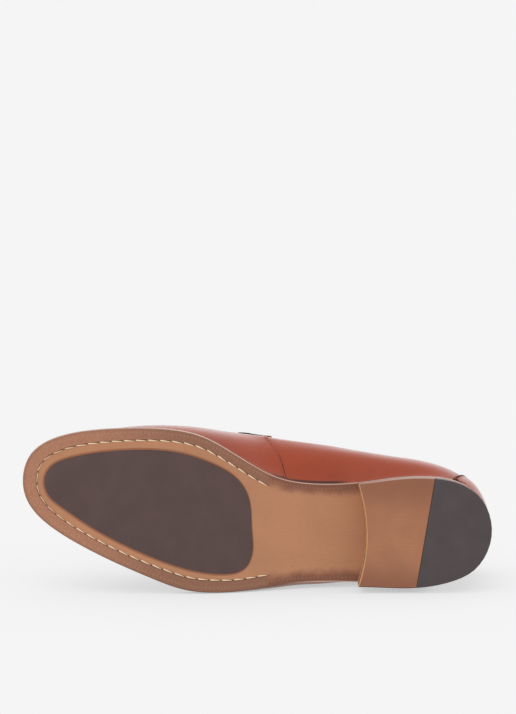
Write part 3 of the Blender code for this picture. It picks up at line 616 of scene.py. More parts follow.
def smoothed(piece):
    """Gives a piece a subdivision surface."""
    surface = piece.modifiers.new("smooth", "SUBSURF")
    surface.levels = SMOOTH_LEVELS
    surface.render_levels = SMOOTH_LEVELS
    return piece


def round_edges(bm, edges, offset, segments=2):
    """Rounds edges off and returns the new faces."""
    return bmesh.ops.bevel(
        bm, geom=edges, offset=offset, segments=segments, profile=0.5, affect="EDGES", material=-1,
        clamp_overlap=True,
    )["faces"]


def sharp_edges(bm, degrees=SHARP_ANGLE):
    limit = math.radians(degrees)
    return [edge for edge in bm.edges if edge.is_manifold and edge.calc_face_angle() > limit]


def add_outline(bm, outline, filled=False):
    """Adds a closed outline in plan, as edges or as one level face."""
    circle = bmesh.ops.create_circle(bm, cap_ends=filled, segments=len(outline), radius=1.0)
    for vert, point in zip(circle["verts"], outline):
        vert.co = (point[0], point[1], 0.0)


def disc(outline):
    """One level face with an outline in plan."""
    bm = bmesh.new()
    add_outline(bm, outline, filled=True)
    bm.faces.ensure_lookup_table()
    return bm


def thicken(bm, thick):
    """Turns the flat faces of a bmesh into a plate, upwards."""
    grown = bmesh.ops.extrude_face_region(bm, geom=bm.faces[:], use_keep_orig=True)
    risen = [item for item in grown["geom"] if isinstance(item, bmesh.types.BMVert)]
    bmesh.ops.translate(bm, verts=risen, vec=(0.0, 0.0, thick))
    bmesh.ops.recalc_face_normals(bm, faces=bm.faces)
    return bm


def slice_across(bm):
    """Cuts the wide level faces at even stations, so that they can follow the arch of the sole."""
    wide = []
    for face in bm.faces:
        stations = [vert.co.x for vert in face.verts]
        if abs(face.normal.z) > LEVEL_FACING and max(stations) - min(stations) > STRIP_STEP:
            wide.append(face)
    wide = bmesh.ops.triangulate(bm, faces=wide)["faces"]
    first = min(vert.co.x for vert in bm.verts)
    last = max(vert.co.x for vert in bm.verts)
    for station in np.arange(first + STRIP_STEP, last, STRIP_STEP):
        edges = {edge for face in wide for edge in face.edges}
        verts = {vert for face in wide for vert in face.verts}
        cut = bmesh.ops.bisect_plane(
            bm, geom=[*wide, *edges, *verts], dist=CUT_DISTANCE,
            plane_co=(station, 0.0, 0.0), plane_no=(1.0, 0.0, 0.0),
        )
        wide = [item for item in cut["geom"] if isinstance(item, bmesh.types.BMFace)]


def carve(body, cutter):
    """The body with the cutter's shape taken out of it."""
    made = []
    for name, bm in (("carved_body", body), ("cutter", cutter)):
        mesh = bpy.data.meshes.new(name)
        bm.to_mesh(mesh)
        bm.free()
        obj = bpy.data.objects.new(name, mesh)
        bpy.context.scene.collection.objects.link(obj)
        made.append(obj)
    taken = made[0].modifiers.new("pocket", "BOOLEAN")
    taken.operation = "DIFFERENCE"
    taken.object = made[1]
    carved = bmesh.new()
    carved.from_object(made[0], bpy.context.evaluated_depsgraph_get())
    for obj in made:
        bpy.data.objects.remove(obj)
    return carved


def add_stitch(bm, middle, along, normal, length, thick, taper=0.0):
    """One stitch: a slim spindle of thread that dips into its holes at its ends, thicker ahead with taper."""
    along = Vector(along).normalized()
    normal = Vector(normal).normalized()
    side = along.cross(normal).normalized()
    normal = side.cross(along)
    axes = Matrix((side * thick / 2.0, normal * thick / 2.0, along * length / 2.0)).transposed().to_4x4()
    ball = bmesh.ops.create_uvsphere(bm, u_segments=STITCH_SIDES, v_segments=STITCH_SIDES, radius=1.0)
    for vert in ball["verts"]:
        vert.co.xy *= (1.0 + STITCH_ENDS * vert.co.z**2) * (1.0 + taper * vert.co.z)
    bmesh.ops.transform(bm, matrix=Matrix.Translation(Vector(middle)) @ axes, verts=ball["verts"])


class Skin:
    """Finished surface of a piece, read in shoe millimetres."""

    def __init__(self, piece):
        bpy.context.view_layer.update()
        self.tree = BVHTree.FromObject(piece, bpy.context.evaluated_depsgraph_get())

    def nearest(self, point):
        spot, normal, _, _ = self.tree.find_nearest(SHOE @ Vector(point))
        return ROW_TO_SHOE @ spot, (ROW_TO_SHOE.to_3x3() @ normal).normalized()

    def miss(self, point):
        return (self.nearest(point)[0] - point).length


def sew(bm, path, skin, stitch, shift=0.0, ahead=None, across=False):
    """A row of stitches along a path, beside it by shift: towards ahead, or else to the side on the skin."""
    pitch, length, thick = stitch
    path = np.asarray(path)
    lengths = run_lengths(path)
    marks = [place * pitch / 2.0 for place in range(int(2.0 * lengths[-1] / pitch) + 1)]
    points = [Vector(point_at(path, lengths, mark)) for mark in marks]
    for before, middle, after in zip(points[::2], points[1::2], points[2::2]):
        along = after - before
        _, normal = skin.nearest(middle)
        side = along.cross(normal).normalized()
        if ahead is None:
            turned = skin.miss(middle - side * shift) < skin.miss(middle + side * shift)
        else:
            turned = side.dot(ahead) < 0.0
        spot, normal = skin.nearest(middle + side * (-shift if turned else shift))
        add_stitch(bm, spot, side if across else along, normal, length, thick)


# Finishes


def sole_leather(looks):
    """Oak-bark tanned sole leather: satin, with fibres along the shoe, stained and burnished at the margin.

    The margin ends at the stitches and fades out along the waist; a wheel has pressed a row of marks into it,
    and the corner of the edge has a painted highlight on the inner side and the outer waist and painted shade
    on the outer forefoot.
    """
    finish = Finish("sole_leather", IOR=1.45)
    along, inset, sewn, level = (
        finish.add("Attribute", {}, "Fac", attribute_name=name)
        for name in ("along", "inset", "sewn", "level")
    )
    station = finish.add("SeparateXYZ", {"Vector": finish.shoe}, "X")
    across = finish.add("SeparateXYZ", {"Vector": finish.shoe}, "Y")
    fibres = finish.lumps(0.8, stretch=(9.0, 1.0, 1.0))
    clouds = finish.lumps(26.0, stretch=(1.6, 1.0, 1.0))
    pores = finish.lumps(1.1, detail=4.0)
    dark = tinted(looks.margin, 0.25)
    tan = finish.tone(tinted(looks.leather, 0.9), looks.leather, clouds, 0.3, 0.7)
    tan = finish.tone(tan, tinted(looks.leather, 0.72), fibres, 0.4, 0.8, 0.0, 0.3)

    # Margin, lighter at the toe and red along the waist, with its pores, its darker rim and the wheel's marks
    margin = finish.tone(tinted(looks.margin, 0.84), tinted(looks.margin, 1.3), station, *TOE_STATIONS)
    waist = tinted(looks.margin, 0.7, WAIST_STAIN)
    margin = finish.add("Mix", mixed(sewn, waist, margin), **COLOURS)
    margin = finish.tone(margin, tinted(looks.margin, 0.5), pores, 0.36, 0.64, 0.3, 0.0)
    margin = finish.tone(margin, tinted(looks.margin, 0.66), inset, 0.4, 2.6, 0.5, 0.0)
    slanted = finish.add("Math", {0: inset, 1: WHEEL_SLANT, 2: along}, operation="MULTIPLY_ADD")
    beats = finish.add("Math", {0: slanted, 1: WHEEL_PITCH}, operation="DIVIDE")
    beat = finish.band(finish.add("Math", {0: beats}, operation="FRACT"), *WHEEL_BEAT)
    mark = finish.add("Math", {0: beat, 1: finish.band(inset, *WHEEL_LINE)}, operation="MULTIPLY")
    rubbed = finish.add("Math", {0: mark, 1: 0.3}, operation="MULTIPLY")
    margin = finish.add("Mix", mixed(rubbed, margin, looks.wheel), **COLOURS)

    # Where the margin shows: up to the stitches, and raggedly along the waist
    ragged = span(finish.lumps(7.0), 0.2, 0.8, -STAIN_RAGGED, STAIN_RAGGED)
    ragged = finish.add("Math", {0: inset, 1: finish.add("MapRange", ragged, **EASED)}, operation="ADD")
    faded = finish.add("MapRange", span(ragged, *STAIN_WAIST, 1.0, 0.0), **EASED)
    cut = finish.add("MapRange", span(inset, *STAIN_CUT, 1.0, 0.0), **EASED)
    stained = finish.add("Mix", {0: sewn, 2: faded, 3: cut})
    shown = finish.add("Mix", mixed(stained, tan, margin), **COLOURS)

    # Corner of the edge: painted highlight on the inner side and the outer waist, painted shade on the outer
    # forefoot
    inner = finish.add("MapRange", span(across, *CORNER_SIDE), **EASED)
    back = finish.add("MapRange", span(station, *CORNER_TURN, 1.0, 0.0), **EASED)
    highlit_side = finish.add("Math", {0: inner, 1: back}, operation="MAXIMUM")
    painted_corner = finish.add("Mix", mixed(highlit_side, dark, looks.corner), **COLOURS)
    corner = finish.add("MapRange", span(inset, *CORNER_LINE, CORNER_SHARE, 0.0), **EASED)
    for limits in (span(level, *CORNER_HEIGHT, 1.0, 0.0), span(station, *CORNER_TOE, 1.0, 0.3)):
        kept = finish.add("MapRange", limits, **EASED)
        corner = finish.add("Math", {0: corner, 1: kept}, operation="MULTIPLY")
    shown = finish.add("Mix", mixed(corner, shown, painted_corner), **COLOURS)

    # Painted shade of the channel's wall: a dark line beside the stitches
    channel_shade = finish.add("Math", {0: finish.band(inset, *CHANNEL_SHADE_LINE), 1: sewn}, operation="MULTIPLY")
    channel_shade = finish.add("Math", {0: channel_shade, 1: 0.8}, operation="MULTIPLY")
    shown = finish.add("Mix", mixed(channel_shade, shown, dark), **COLOURS)
    finish.give("Base Color", shown)
    finish.give("Roughness", finish.add("MapRange", span(inset, 0.2, 1.6, 0.26, 0.48), **EASED))
    relief = finish.add("Math", {0: pores, 1: mark}, operation="SUBTRACT")
    finish.give("Normal", finish.add("Bump", {"Height": relief, "Distance": 0.05 * MM}))
    return finish.material


def recess_leather(looks):
    """Cut wall of the rubber's pocket: reddish brown, in the shade of the gap."""
    finish = Finish("recess_leather", Roughness=0.6, IOR=1.45)
    finish.mottle(looks.recess, 0.8, finish.lumps(1.5))
    return finish.material


def heel_leather(looks):
    """Stacked heel leather, sanded and waxed: faint lines along the shoe and darker towards its sides."""
    finish = Finish("heel_leather", Roughness=0.44, IOR=1.5)
    lines = finish.lumps(1.0, stretch=(16.0, 1.0, 1.0), detail=4.0)
    brown = finish.tone(tinted(looks.heel, 0.86), looks.heel, finish.lumps(18.0), 0.3, 0.7)
    brown = finish.tone(brown, tinted(looks.heel, 0.72), lines, 0.3, 0.8, 0.0, 0.3)
    across = finish.add("SeparateXYZ", {"Vector": finish.shoe}, "Y")
    dark = tinted(looks.heel, 0.62, HEEL_RED_TINT)
    brown = finish.tone(brown, dark, across, *HEEL_INNER_SIDE, 0.0, 0.9)
    brown = finish.tone(brown, dark, across, *HEEL_OUTER_SIDE, 0.9, 0.0)
    finish.give("Base Color", brown)
    finish.pit(0.5, 0.03)
    return finish.material


def raw_edge_leather(looks):
    """Cut edge of the heel's layers: pale orange tan, with a dark glue line between them."""
    finish = Finish("cut_leather_edge", Roughness=0.45, IOR=1.5)
    grain = finish.lumps(1.2, stretch=(3.0, 3.0, 0.5))
    height = finish.add("SeparateXYZ", {"Vector": finish.shoe}, "Z")
    tan = finish.tone(looks.raw_edge, tinted(looks.raw_edge, 0.85), grain, 0.3, 0.7)
    tan = finish.tone(tan, looks.corner, height, *PALE_HEIGHT)
    glue = finish.band(height, *GLUE_LINE)
    finish.give("Base Color", finish.add("Mix", mixed(glue, tan, looks.glue), **COLOURS))
    return finish.material


def painted_heel_edge(looks):
    """Lower edge of the heel's outer side: painted shade, an even dark brown."""
    dark = tinted(looks.heel, HEEL_EDGE_SHADE, HEEL_RED_TINT)
    return Finish("heel_edge_painted_shade", Roughness=0.5, IOR=1.3, Base_Color=dark).material


def sole_rubber(name, colour):
    """Moulded nitrile rubber, matt, with a fine sanded skin that looks a little cloudy."""
    finish = Finish(name, Roughness=0.6, IOR=1.48)
    clouds = finish.lumps(14.0, detail=4.0)
    finish.give("Base Color", finish.tone(tinted(colour, 0.92), tinted(colour, 1.06), clouds, 0.3, 0.7))
    finish.pit(0.6, 0.04)
    return finish.material


def waxed_thread(name, colour, rubbed):
    """Waxed linen thread: soft sheen, fine twist, rubbed to the leather's tone round the toe."""
    finish = Finish(name, Roughness=0.55, IOR=1.5)
    twist = finish.lumps(0.5)
    station = finish.add("SeparateXYZ", {"Vector": finish.shoe}, "X")
    shown = finish.add("Mix", mixed(twist, colour, tinted(colour, 0.8)), **COLOURS)
    finish.give("Base Color", finish.tone(shown, rubbed, station, *RUBBED_STATIONS, 0.0, RUBBED_SHARE))
    return finish.material


def welt_leather(looks):
    """Welt leather, stained and burnished with the sole's margin: satin, mottled and finely pored."""
    finish = Finish("welt_leather", Roughness=0.4, IOR=1.5)
    finish.mottle(looks.margin, 0.75, finish.lumps(3.0))
    finish.pit(0.5, 0.03)
    return finish.material


def cognac_calf(looks):
    """Smooth aniline calf, burnished and waxed: deep cognac under a clear polish that mirrors the room."""
    finish = Finish(
        "cognac_calf", Specular_IOR_Level=0.0, Coat_Weight=1.0, Coat_Roughness=0.42, Coat_IOR=1.42,
        Sheen_Weight=0.75, Sheen_Roughness=0.42,
    )
    calf = finish.tone(looks.leather, looks.shade, finish.lumps(30.0), 0.35, 0.8, 0.0, 0.45)
    calf = finish.tone(calf, looks.shade, finish.lumps(4.0), 0.4, 0.8, 0.0, 0.12)
    # Painted shade in the crevice where the upper goes in under the inner waist
    tucked = finish.add("Attribute", {}, "Fac", attribute_name="tucked")
    tucked = finish.add("MapRange", span(tucked, *TUCK_LIMITS), **EASED)
    waist = finish.band(finish.add("SeparateXYZ", {"Vector": finish.shoe}, "X"), *TUCK_LINE)
    crevice = finish.add("Math", {0: tucked, 1: waist}, operation="MULTIPLY")
    dark = tinted(looks.shade, TUCK_SHADE)
    finish.give("Base Color", finish.add("Mix", mixed(crevice, calf, dark), **COLOURS))
    finish.pit(0.45, 0.012)
    return finish.material


def lining_leather(looks):
    """Undyed lining leather: matt and pale, with fine pores."""
    finish = Finish("lining_leather", Roughness=0.6, IOR=1.5)
    finish.mottle(looks.lining, 0.85, finish.lumps(16.0))
    finish.pit(0.5, 0.03)
    return finish.material


def edge_ink(looks):
    """Inked and heated cut edge of leather: dark and smooth."""
    finish = Finish("edge_ink", Roughness=0.5, IOR=1.2)
    finish.mottle(looks.edge, 0.75, finish.lumps(3.0))
    return finish.material


def insole_leather(looks):
    """Leather sock glued over the insole: matt, with a soft grain."""
    finish = Finish("insole_leather", Roughness=0.58, IOR=1.5)
    finish.mottle(looks.insole, 0.85, finish.lumps(20.0))
    finish.pit(0.7, 0.05)
    return finish.material


def polished_brass(looks):
    """Cast brass, polished and lacquered: bright with faint buffing marks."""
    finish = Finish("polished_brass", Metallic=1.0)
    marks = finish.lumps(0.8, stretch=(1.0, 6.0, 1.0))
    finish.mottle(looks.brass, 0.92, marks)
    finish.give("Roughness", finish.add("MapRange", span(marks, 0.2, 0.8, 0.14, 0.28), **EASED))
    return finish.material


def studio_floor(looks):
    """Back-lit white acrylic floor: seamless and matt, its glow dimmed by painted shadows close to what
    stands on it.
    """
    finish = Finish(
        "studio_floor", Base_Color=(0.0, 0.0, 0.0), Roughness=0.9, Specular_IOR_Level=0.0,
        Emission_Color=looks.floor,
    )
    glow = 1.0
    # Painted shadows: the glow dims where little of the room is open above the floor
    for reach, full, clear, depth in SHADOWS:
        seen = finish.add("AmbientOcclusion", {"Distance": reach}, "AO", samples=SHADOW_RAYS)
        lit = finish.add("MapRange", span(seen, full, clear, 1.0 - depth, 1.0), **EASED)
        glow = finish.add("Math", {0: lit, 1: glow}, operation="MULTIPLY")
    finish.give("Emission Strength", glow)
    return finish.material


# Sole


def sole_plate():
    """Flat outsole with rings along its edge."""
    bm = disc(RIM.points)
    middle = bm.faces[0]
    for ring in EDGE_RINGS:
        bmesh.ops.inset_region(
            bm, faces=[middle], thickness=INSET_START, use_even_offset=True, use_boundary=True
        )
        for vert in middle.verts:
            index, _ = RIM.column(vert.co)
            vert.co.xy = RIM.inside(index, ring)
    return thicken(bm, RIM.thick)


def pad_outline(spare=0.0):
    """Outline of the forefoot pad, widened by a spare millimetre share all round."""
    outline = closed_spline(from_heel_back(rim_loops("forefoot_pad")[0]), PAD_POINTS)
    along = np.roll(outline, -1, axis=0) - np.roll(outline, 1, axis=0)
    away = np.stack([-along[:, 1], along[:, 0], np.zeros(len(along))], axis=1)
    return outline + spare * away / np.linalg.norm(away, axis=1, keepdims=True)


def pad_levels():
    """Undersides of the pad and of its pocket, from the sole's underside."""
    pad = cad_copy("forefoot_pad")
    tops = [vert.co.z - RIM.height(vert.co.x) for vert in pad.verts]
    pad.free()
    return min(tops), max(tops)


def shape_sole(bm):
    """Bends the flat outsole to its arch, leans its side, cuts the channel and notes where its points are."""
    along = bm.verts.layers.float.new("along")
    inset = bm.verts.layers.float.new("inset")
    sewn = bm.verts.layers.float.new("sewn")
    raised = bm.verts.layers.float.new("level")
    looks = bpy.context.scene.loafer_sole
    first = looks.stitch_start / MM
    last = looks.stitch_end / MM
    for vert in bm.verts:
        index, distance = RIM.column(vert.co)
        ring = distance / RIM.share[index]
        start = first if index < RIM.tip else last
        stitched = smooth_step((vert.co.x - start) / CHANNEL_FADE)
        level = vert.co.z
        lean = RIM.lean[index] * max(0.0, 1.0 - distance / LEAN_REACH) * level / RIM.thick
        vert.co.xy += Vector(-RIM.inward[index] * lean)
        vert.co.z += RIM.height(vert.co.x)
        vert[along] = index * RIM.step
        vert[inset] = ring
        vert[sewn] = stitched
        vert[raised] = level
        if level < RIM.thick / 2.0 and CHANNEL_BAND[0] < ring < CHANNEL_BAND[1]:
            vert.co.z += CHANNEL_DEPTH * stitched


def is_edge(vert):
    """Whether a point of the flat outsole lies on its edge."""
    return RIM.column(vert.co)[1] < EDGE_NEAR


def is_pad_mouth(vert):
    """Whether a point of the flat outsole lies on the edge of the pad's pocket."""
    return abs(vert.co.z) < LEVEL_SPARE and RIM.column(vert.co)[1] > EDGE_RINGS[0]


def build_outsole():
    looks = bpy.context.scene.loafer_sole
    _, high = pad_levels()
    cutter = thicken(disc(pad_outline(PAD_GROOVE)), 2.0 * (high + PAD_CLEARANCE))
    bmesh.ops.translate(cutter, verts=cutter.verts, vec=(0.0, 0.0, -(high + PAD_CLEARANCE)))
    bm = carve(sole_plate(), cutter)
    rims = [edge for edge in sharp_edges(bm, RIM_ANGLE) if all(is_edge(vert) for vert in edge.verts)]
    round_edges(bm, rims, EDGE_ROUND, EDGE_SEGMENTS)
    for face in bm.faces:
        centre = face.calc_center_median()
        if LEVEL_SPARE < centre.z < RIM.thick - LEVEL_SPARE and RIM.column(centre)[1] > EDGE_RINGS[0]:
            face.material_index = 1
    mouth = [edge for edge in sharp_edges(bm, RIM_ANGLE) if all(is_pad_mouth(vert) for vert in edge.verts)]
    for face in round_edges(bm, mouth, PAD_RIM_ROUND):
        face.material_index = 1
    slice_across(bm)
    shape_sole(bm)
    materials = [sole_leather(looks), recess_leather(looks)]
    place_piece("outsole_leather", bm, materials, ["outsole"])


def build_pad():
    looks = bpy.context.scene.loafer_sole
    low, high = pad_levels()
    bm = thicken(disc(pad_outline()), high - low)
    round_edges(bm, sharp_edges(bm, RIM_ANGLE), PAD_ROUND)
    slice_across(bm)
    for vert in bm.verts:
        vert.co.z += low + RIM.height(vert.co.x)
    rubber = sole_rubber("forefoot_rubber", looks.rubber)
    place_piece("forefoot_rubber", bm, [rubber], ["forefoot_pad"])
    # Line round the pocket: a flat sheet for the pocket's stained cut wall, with painted shade of the gap
    near, far = (pad_outline(spare) for spare in PAD_LINE)
    waistward = np.clip((near - far)[:, :1] / (PAD_LINE[1] - PAD_LINE[0]), 0.0, 1.0)
    far += PAD_LINE_THINNED * waistward * (near - far)
    line = bmesh.new()
    for outline in (near, far):
        add_outline(line, outline)
    bmesh.ops.bridge_loops(line, edges=line.edges)
    for vert in line.verts:
        vert.co.z = RIM.height(vert.co.x) - PAD_LINE_PROUD
    bmesh.ops.recalc_face_normals(line, faces=line.faces)
    place_piece("pocket_line", line, [bpy.data.materials["recess_leather"]])


def build_sole_stitches():
    looks = bpy.context.scene.loafer_sole
    bm = bmesh.new()
    first = RIM.column_at(looks.stitch_start / MM, True)
    last = RIM.column_at(looks.stitch_end / MM, False)
    slant = math.radians(STITCH_SLANT)
    row = np.array([RIM.inside(index, CHANNEL_MIDDLE) for index in range(first, last + 1)])
    lengths = run_lengths(row)
    count = round(lengths[-1] * MM / looks.stitch_pitch)
    for stitch in range(count):
        place = (stitch + 0.5) * lengths[-1] / count
        plan = point_at(row, lengths, place)
        index = first + int(np.searchsorted(lengths, place))
        toeward = 1.0 if index < RIM.tip else -1.0
        along = toeward * (RIM.tangent[index] * math.cos(slant) - RIM.inward[index] * math.sin(slant))
        height = RIM.height(plan[0])
        slope = RIM.height(plan[0] + along[0]) - height
        add_stitch(
            bm, (*plan, height + STITCH_SINK), (*along, slope), (0.0, 0.0, -1.0),
            looks.stitch_length / MM, looks.stitch_thick / MM, STITCH_TAPER,
        )
    thread = waxed_thread("waxed_linen", looks.thread, looks.leather)
    place_piece("sole_stitches", bm, [thread])


def is_cut_line(edge):
    """Whether an edge runs across the heel, between a face that looks down and the hollow front."""
    down = any(face.normal.z < -HEEL_FACING for face in edge.link_faces)
    front = any(face.normal.x > HEEL_FACING for face in edge.link_faces)
    return down and front


def build_heel():
    looks = bpy.context.scene.loafer_sole
    leather = heel_leather(looks)
    raw = raw_edge_leather(looks)
    edge_shade = painted_heel_edge(looks)
    rubber = sole_rubber("heel_rubber", looks.heel_rubber)
    for name, node, materials, slot in (
        ("heel_lifts", "heel_stack", [leather, raw], "heel_leather"),
        ("heel_leather_top", "heel_top_leather", [leather, raw, edge_shade], "heel_leather"),
        ("heel_rubber_top", "heel_top_rubber", [rubber], "sole_rubber"),
    ):
        bm = cad_copy(node)
        bmesh.ops.dissolve_limit(bm, angle_limit=math.radians(FLAT_ANGLE), verts=bm.verts, edges=bm.edges)
        for face in bm.faces:
            if len(materials) > 1 and face.normal.x > HEEL_FACING:
                face.material_index = 1
        if node == "heel_top_leather":
            cut = [edge for edge in sharp_edges(bm) if is_cut_line(edge)]
            for face in round_edges(bm, cut, CUT_ROUND):
                face.material_index = 1
        split = 1.0 if node == "heel_top_rubber" else -1.0
        flush = {face for face in bm.faces if node != "heel_stack" and split * face.normal.x > HEEL_FACING}
        rounded = [edge for edge in sharp_edges(bm) if not flush & set(edge.link_faces)]
        for face in round_edges(bm, rounded, HEEL_ROUND):
            # Rounded faces along the lower edge of the heel's outer side get the painted shade
            if node == "heel_top_leather" and face.normal.y < HEEL_EDGE_SIDE:
                face.material_index = 2
        place_piece(name, bm, materials, [node], sharp_angle=HEEL_SHADE_ANGLE)


def build_welt():
    looks = bpy.context.scene.loafer_sole
    bm = cad_copy("welt", quads=True)
    round_edges(bm, sharp_edges(bm), WELT_ROUND)
    skin = Skin(smoothed(place_piece("welt_strip", bm, [welt_leather(looks)], ["welt"])))
    edge = from_heel_back(rim_loops("welt", below=False)[0])
    ahead = np.flatnonzero(edge[:, 0] > WELT_SEWN_FROM)
    rows = bmesh.new()
    sew(rows, edge[ahead[0]:ahead[-1]], skin, WELT_STITCH, WELT_SHIFT)
    place_piece("welt_stitches", rows, [bpy.data.materials["waxed_linen"]])


# Upper


def flood(seed, degrees):
    """Faces reached from a seed without crossing an edge sharper than the limit."""
    limit = math.radians(degrees)
    reached = {seed}
    waiting = [seed]
    while waiting:
        for edge in waiting.pop().edges:
            if not edge.is_manifold or edge.calc_face_angle() > limit:
                continue
            for face in edge.link_faces:
                if face not in reached:
                    reached.add(face)
                    waiting.append(face)
    return reached


def sharpen_seam(bm, outside, inner):
    """Draws a side seam's strip in to a sharp step, inks it as cut edge and painted shade, and returns its
    edge's points.
    """
    starts = []
    for edge in bm.edges:
        middle = (edge.verts[0].co + edge.verts[1].co) / 2.0
        right_place = SEAM_STATIONS[0] < middle.x < SEAM_STATIONS[1] and (middle.y > 0.0) == inner
        if right_place and sum(face in outside for face in edge.link_faces) == 1 and middle.z < SEAM_LOW:
            starts.append(edge)
    rung = min(starts, key=lambda edge: edge.calc_length())
    face = next(face for face in rung.link_faces if face in outside)
    rungs = [rung]
    strip = []
    while face in outside and len(face.verts) == 4:
        strip.append(face)
        rung = next(edge for edge in face.edges if not set(edge.verts) & set(rung.verts))
        rungs.append(rung)
        face = next(other for other in rung.link_faces if other is not face)
    pairs = [sorted(rung.verts, key=lambda vert: vert.co.x) for rung in rungs]
    for behind, ahead in pairs:
        beside = [face.normal for face in ahead.link_faces if face in outside and face not in strip]
        normal = sum(beside, Vector()).normalized()
        back = behind.co - ahead.co
        ahead.co += SEAM_DRAWN * (back - normal * back.dot(normal))
    # The strip's dark ink is the vamp's inked cut edge and also painted shade in the step
    for face in strip:
        face.material_index = 2
    crease = bm.edges.layers.float["crease_edge"]
    for column in zip(*pairs):
        for first, second in zip(column, column[1:]):
            edge = bm.edges.get((first, second))
            if edge:
                edge[crease] = SEAM_CREASE
    return [ahead for _, ahead in pairs]


def slide(vert, distance):
    """Moves a point towards the toe, along the surface it lies on."""
    ahead = Vector((1.0, 0.0, 0.0))
    vert.co += distance * (ahead - vert.normal * ahead.dot(vert.normal))


def bow_seam(outside, seam):
    """Slides the upper's surface along the inner side seam, so that the seam bows."""
    seam = np.array(seam)
    moves = {}
    for vert in {vert for face in outside for vert in face.verts if vert.co.y > 0.0}:
        place = np.interp(vert.co.z, seam[:, 2], seam[:, 0])
        near = smooth_step(1.0 - abs(vert.co.x - place) / SEAM_REACH)
        moves[vert] = near * float(np.interp(vert.co.z, SEAM_HEIGHTS, SEAM_BOW))
    for vert, distance in moves.items():
        slide(vert, distance)


def mark_tuck(bm, outside, feather):
    """Notes the points on the upper's feather line and their neighbours, where the crevice's shade is
    painted.
    """
    tucked = bm.verts.layers.float["tucked"]
    outer = {vert for face in outside for vert in face.verts}
    lowest = {
        vert for vert in outer | {edge.other_vert(vert) for vert in outer for edge in vert.link_edges}
        if np.linalg.norm(feather - np.array(vert.co), axis=1).min() < MERGE_DISTANCE
    }
    for vert in outer:
        if vert in lowest or any(edge.other_vert(vert) in lowest for edge in vert.link_edges):
            vert[tucked] = 1.0


def apron_crest(bm, outside):
    """Points along the top of the apron's raised seam, from the outer side by the toe to the inner side."""
    limit = math.radians(CREST_ANGLE)
    ridge = set()
    for edge in bm.edges:
        ahead = min(vert.co.x for vert in edge.verts) > CREST_START
        if ahead and edge.is_convex and edge.calc_face_angle() > limit and set(edge.link_faces) <= outside:
            ridge.update(edge.verts)
    rungs = [edge for edge in bm.edges if set(edge.verts) <= ridge and edge.calc_length() < CREST_WIDTH]
    middles = [np.array((edge.verts[0].co + edge.verts[1].co) / 2.0) for edge in rungs]
    return sorted(middles, key=lambda point: math.atan2(point[1], point[0] - CREST_START))


def ink_cut_edges(bm):
    """Inks the narrow sides of a flat piece that look ahead, and returns the border of its outer face."""
    left = set(bm.faces)
    regions = []
    while left:
        region = flood(next(iter(left)), SHARP_ANGLE)
        regions.append(region)
        left -= region
    regions.sort(key=lambda region: -sum(face.calc_area() for face in region))
    for region in regions[2:]:
        for face in region:
            face.material_index = 1 if face.normal.x > INK_FRONT else 0
    outer = regions[0]
    return loops_of([edge for edge in bm.edges if sum(face in outer for face in edge.link_faces) == 1])[0]


def swell_quarter(bm, extra=0.0):
    """Rounds the inner side of the heel out a little, the sewn-on counter a little more."""
    for vert in bm.verts:
        inner = smooth_step(vert.co.y / SWELL_WIDTH)
        high = smooth_step((vert.co.z - SWELL_LOW) / SWELL_WIDTH)
        vert.co.y += (float(np.interp(vert.co.x, SWELL_STATIONS, SWELL)) + extra) * inner * high


def stretch_forward(bm, most):
    """Draws a piece out towards the toe, its front edge the most."""
    places = [vert.co.x for vert in bm.verts]
    back = min(places)
    length = max(places) - back
    for vert in bm.verts:
        slide(vert, most * (vert.co.x - back) / length)


def settle_strap(bm):
    """Raises the front of the strap's outer face on the inner side, and lays its back closer to the vamp."""
    bm.normal_update()
    for vert in bm.verts:
        if vert.normal.y > 0.0:
            inner = smooth_step((vert.co.y - STRAP_SIDE) / STRAP_EASE)
            vert.co.y += inner * float(np.interp(vert.co.x, STRAP_STATIONS, STRAP_RISE))


def build_upper():
    looks = bpy.context.scene.loafer_upper
    bm = cad_copy("upper", quads=True)
    bm.edges.layers.float.new("crease_edge")
    bm.verts.layers.float.new("tucked")
    bm.faces.ensure_lookup_table()
    tree = BVHTree.FromBMesh(bm)
    height = RIM.height(PROBE_STATION) + PROBE_INSIDE
    _, _, within, _ = tree.ray_cast(Vector((PROBE_STATION, PROBE_SIDE, height)), Vector((0.0, 0.0, 1.0)))
    lining = flood(bm.faces[within], RIM_ANGLE)
    _, _, outer, _ = tree.ray_cast(Vector((PROBE_STATION, PROBE_SIDE, PROBE_ABOVE)), Vector((0.0, 0.0, -1.0)))
    outside = flood(bm.faces[outer], RIM_ANGLE)
    for face in bm.faces:
        if face in lining:
            face.material_index = 1
        elif face not in outside:
            face.material_index = 2
    rims = sharp_edges(bm, RIM_ANGLE)
    borders = loops_of([edge for edge in rims if any(face in outside for face in edge.link_faces)])
    topline = max(borders, key=lambda loop: loop[:, 2].mean())
    crest = apron_crest(bm, outside)
    mark_tuck(bm, outside, min(borders, key=lambda loop: loop[:, 2].mean()))
    seams = [sharpen_seam(bm, outside, inner) for inner in (True, False)]
    bow_seam(outside, [ahead.co for ahead in seams[0]])
    swell_quarter(bm)
    seams = [[np.array(ahead.co) for ahead in seam] for seam in seams]
    round_edges(bm, rims, UPPER_RIM_ROUND)
    materials = [cognac_calf(looks), lining_leather(looks), edge_ink(looks)]
    skin = Skin(smoothed(place_piece("upper_calf", bm, materials, ["upper"])))
    rows = bmesh.new()
    sew(rows, topline, skin, FINE_STITCH, TOPLINE_SHIFT)
    sew(rows, crest, skin, APRON_STITCH, across=True)
    for seam in seams:
        sew(rows, seam, skin, FINE_STITCH, SEAM_SHIFT, ahead=Vector((1.0, 0.0, 0.0)))
    thread = waxed_thread("upper_thread", looks.thread, looks.leather)
    place_piece("upper_stitches", rows, [thread])


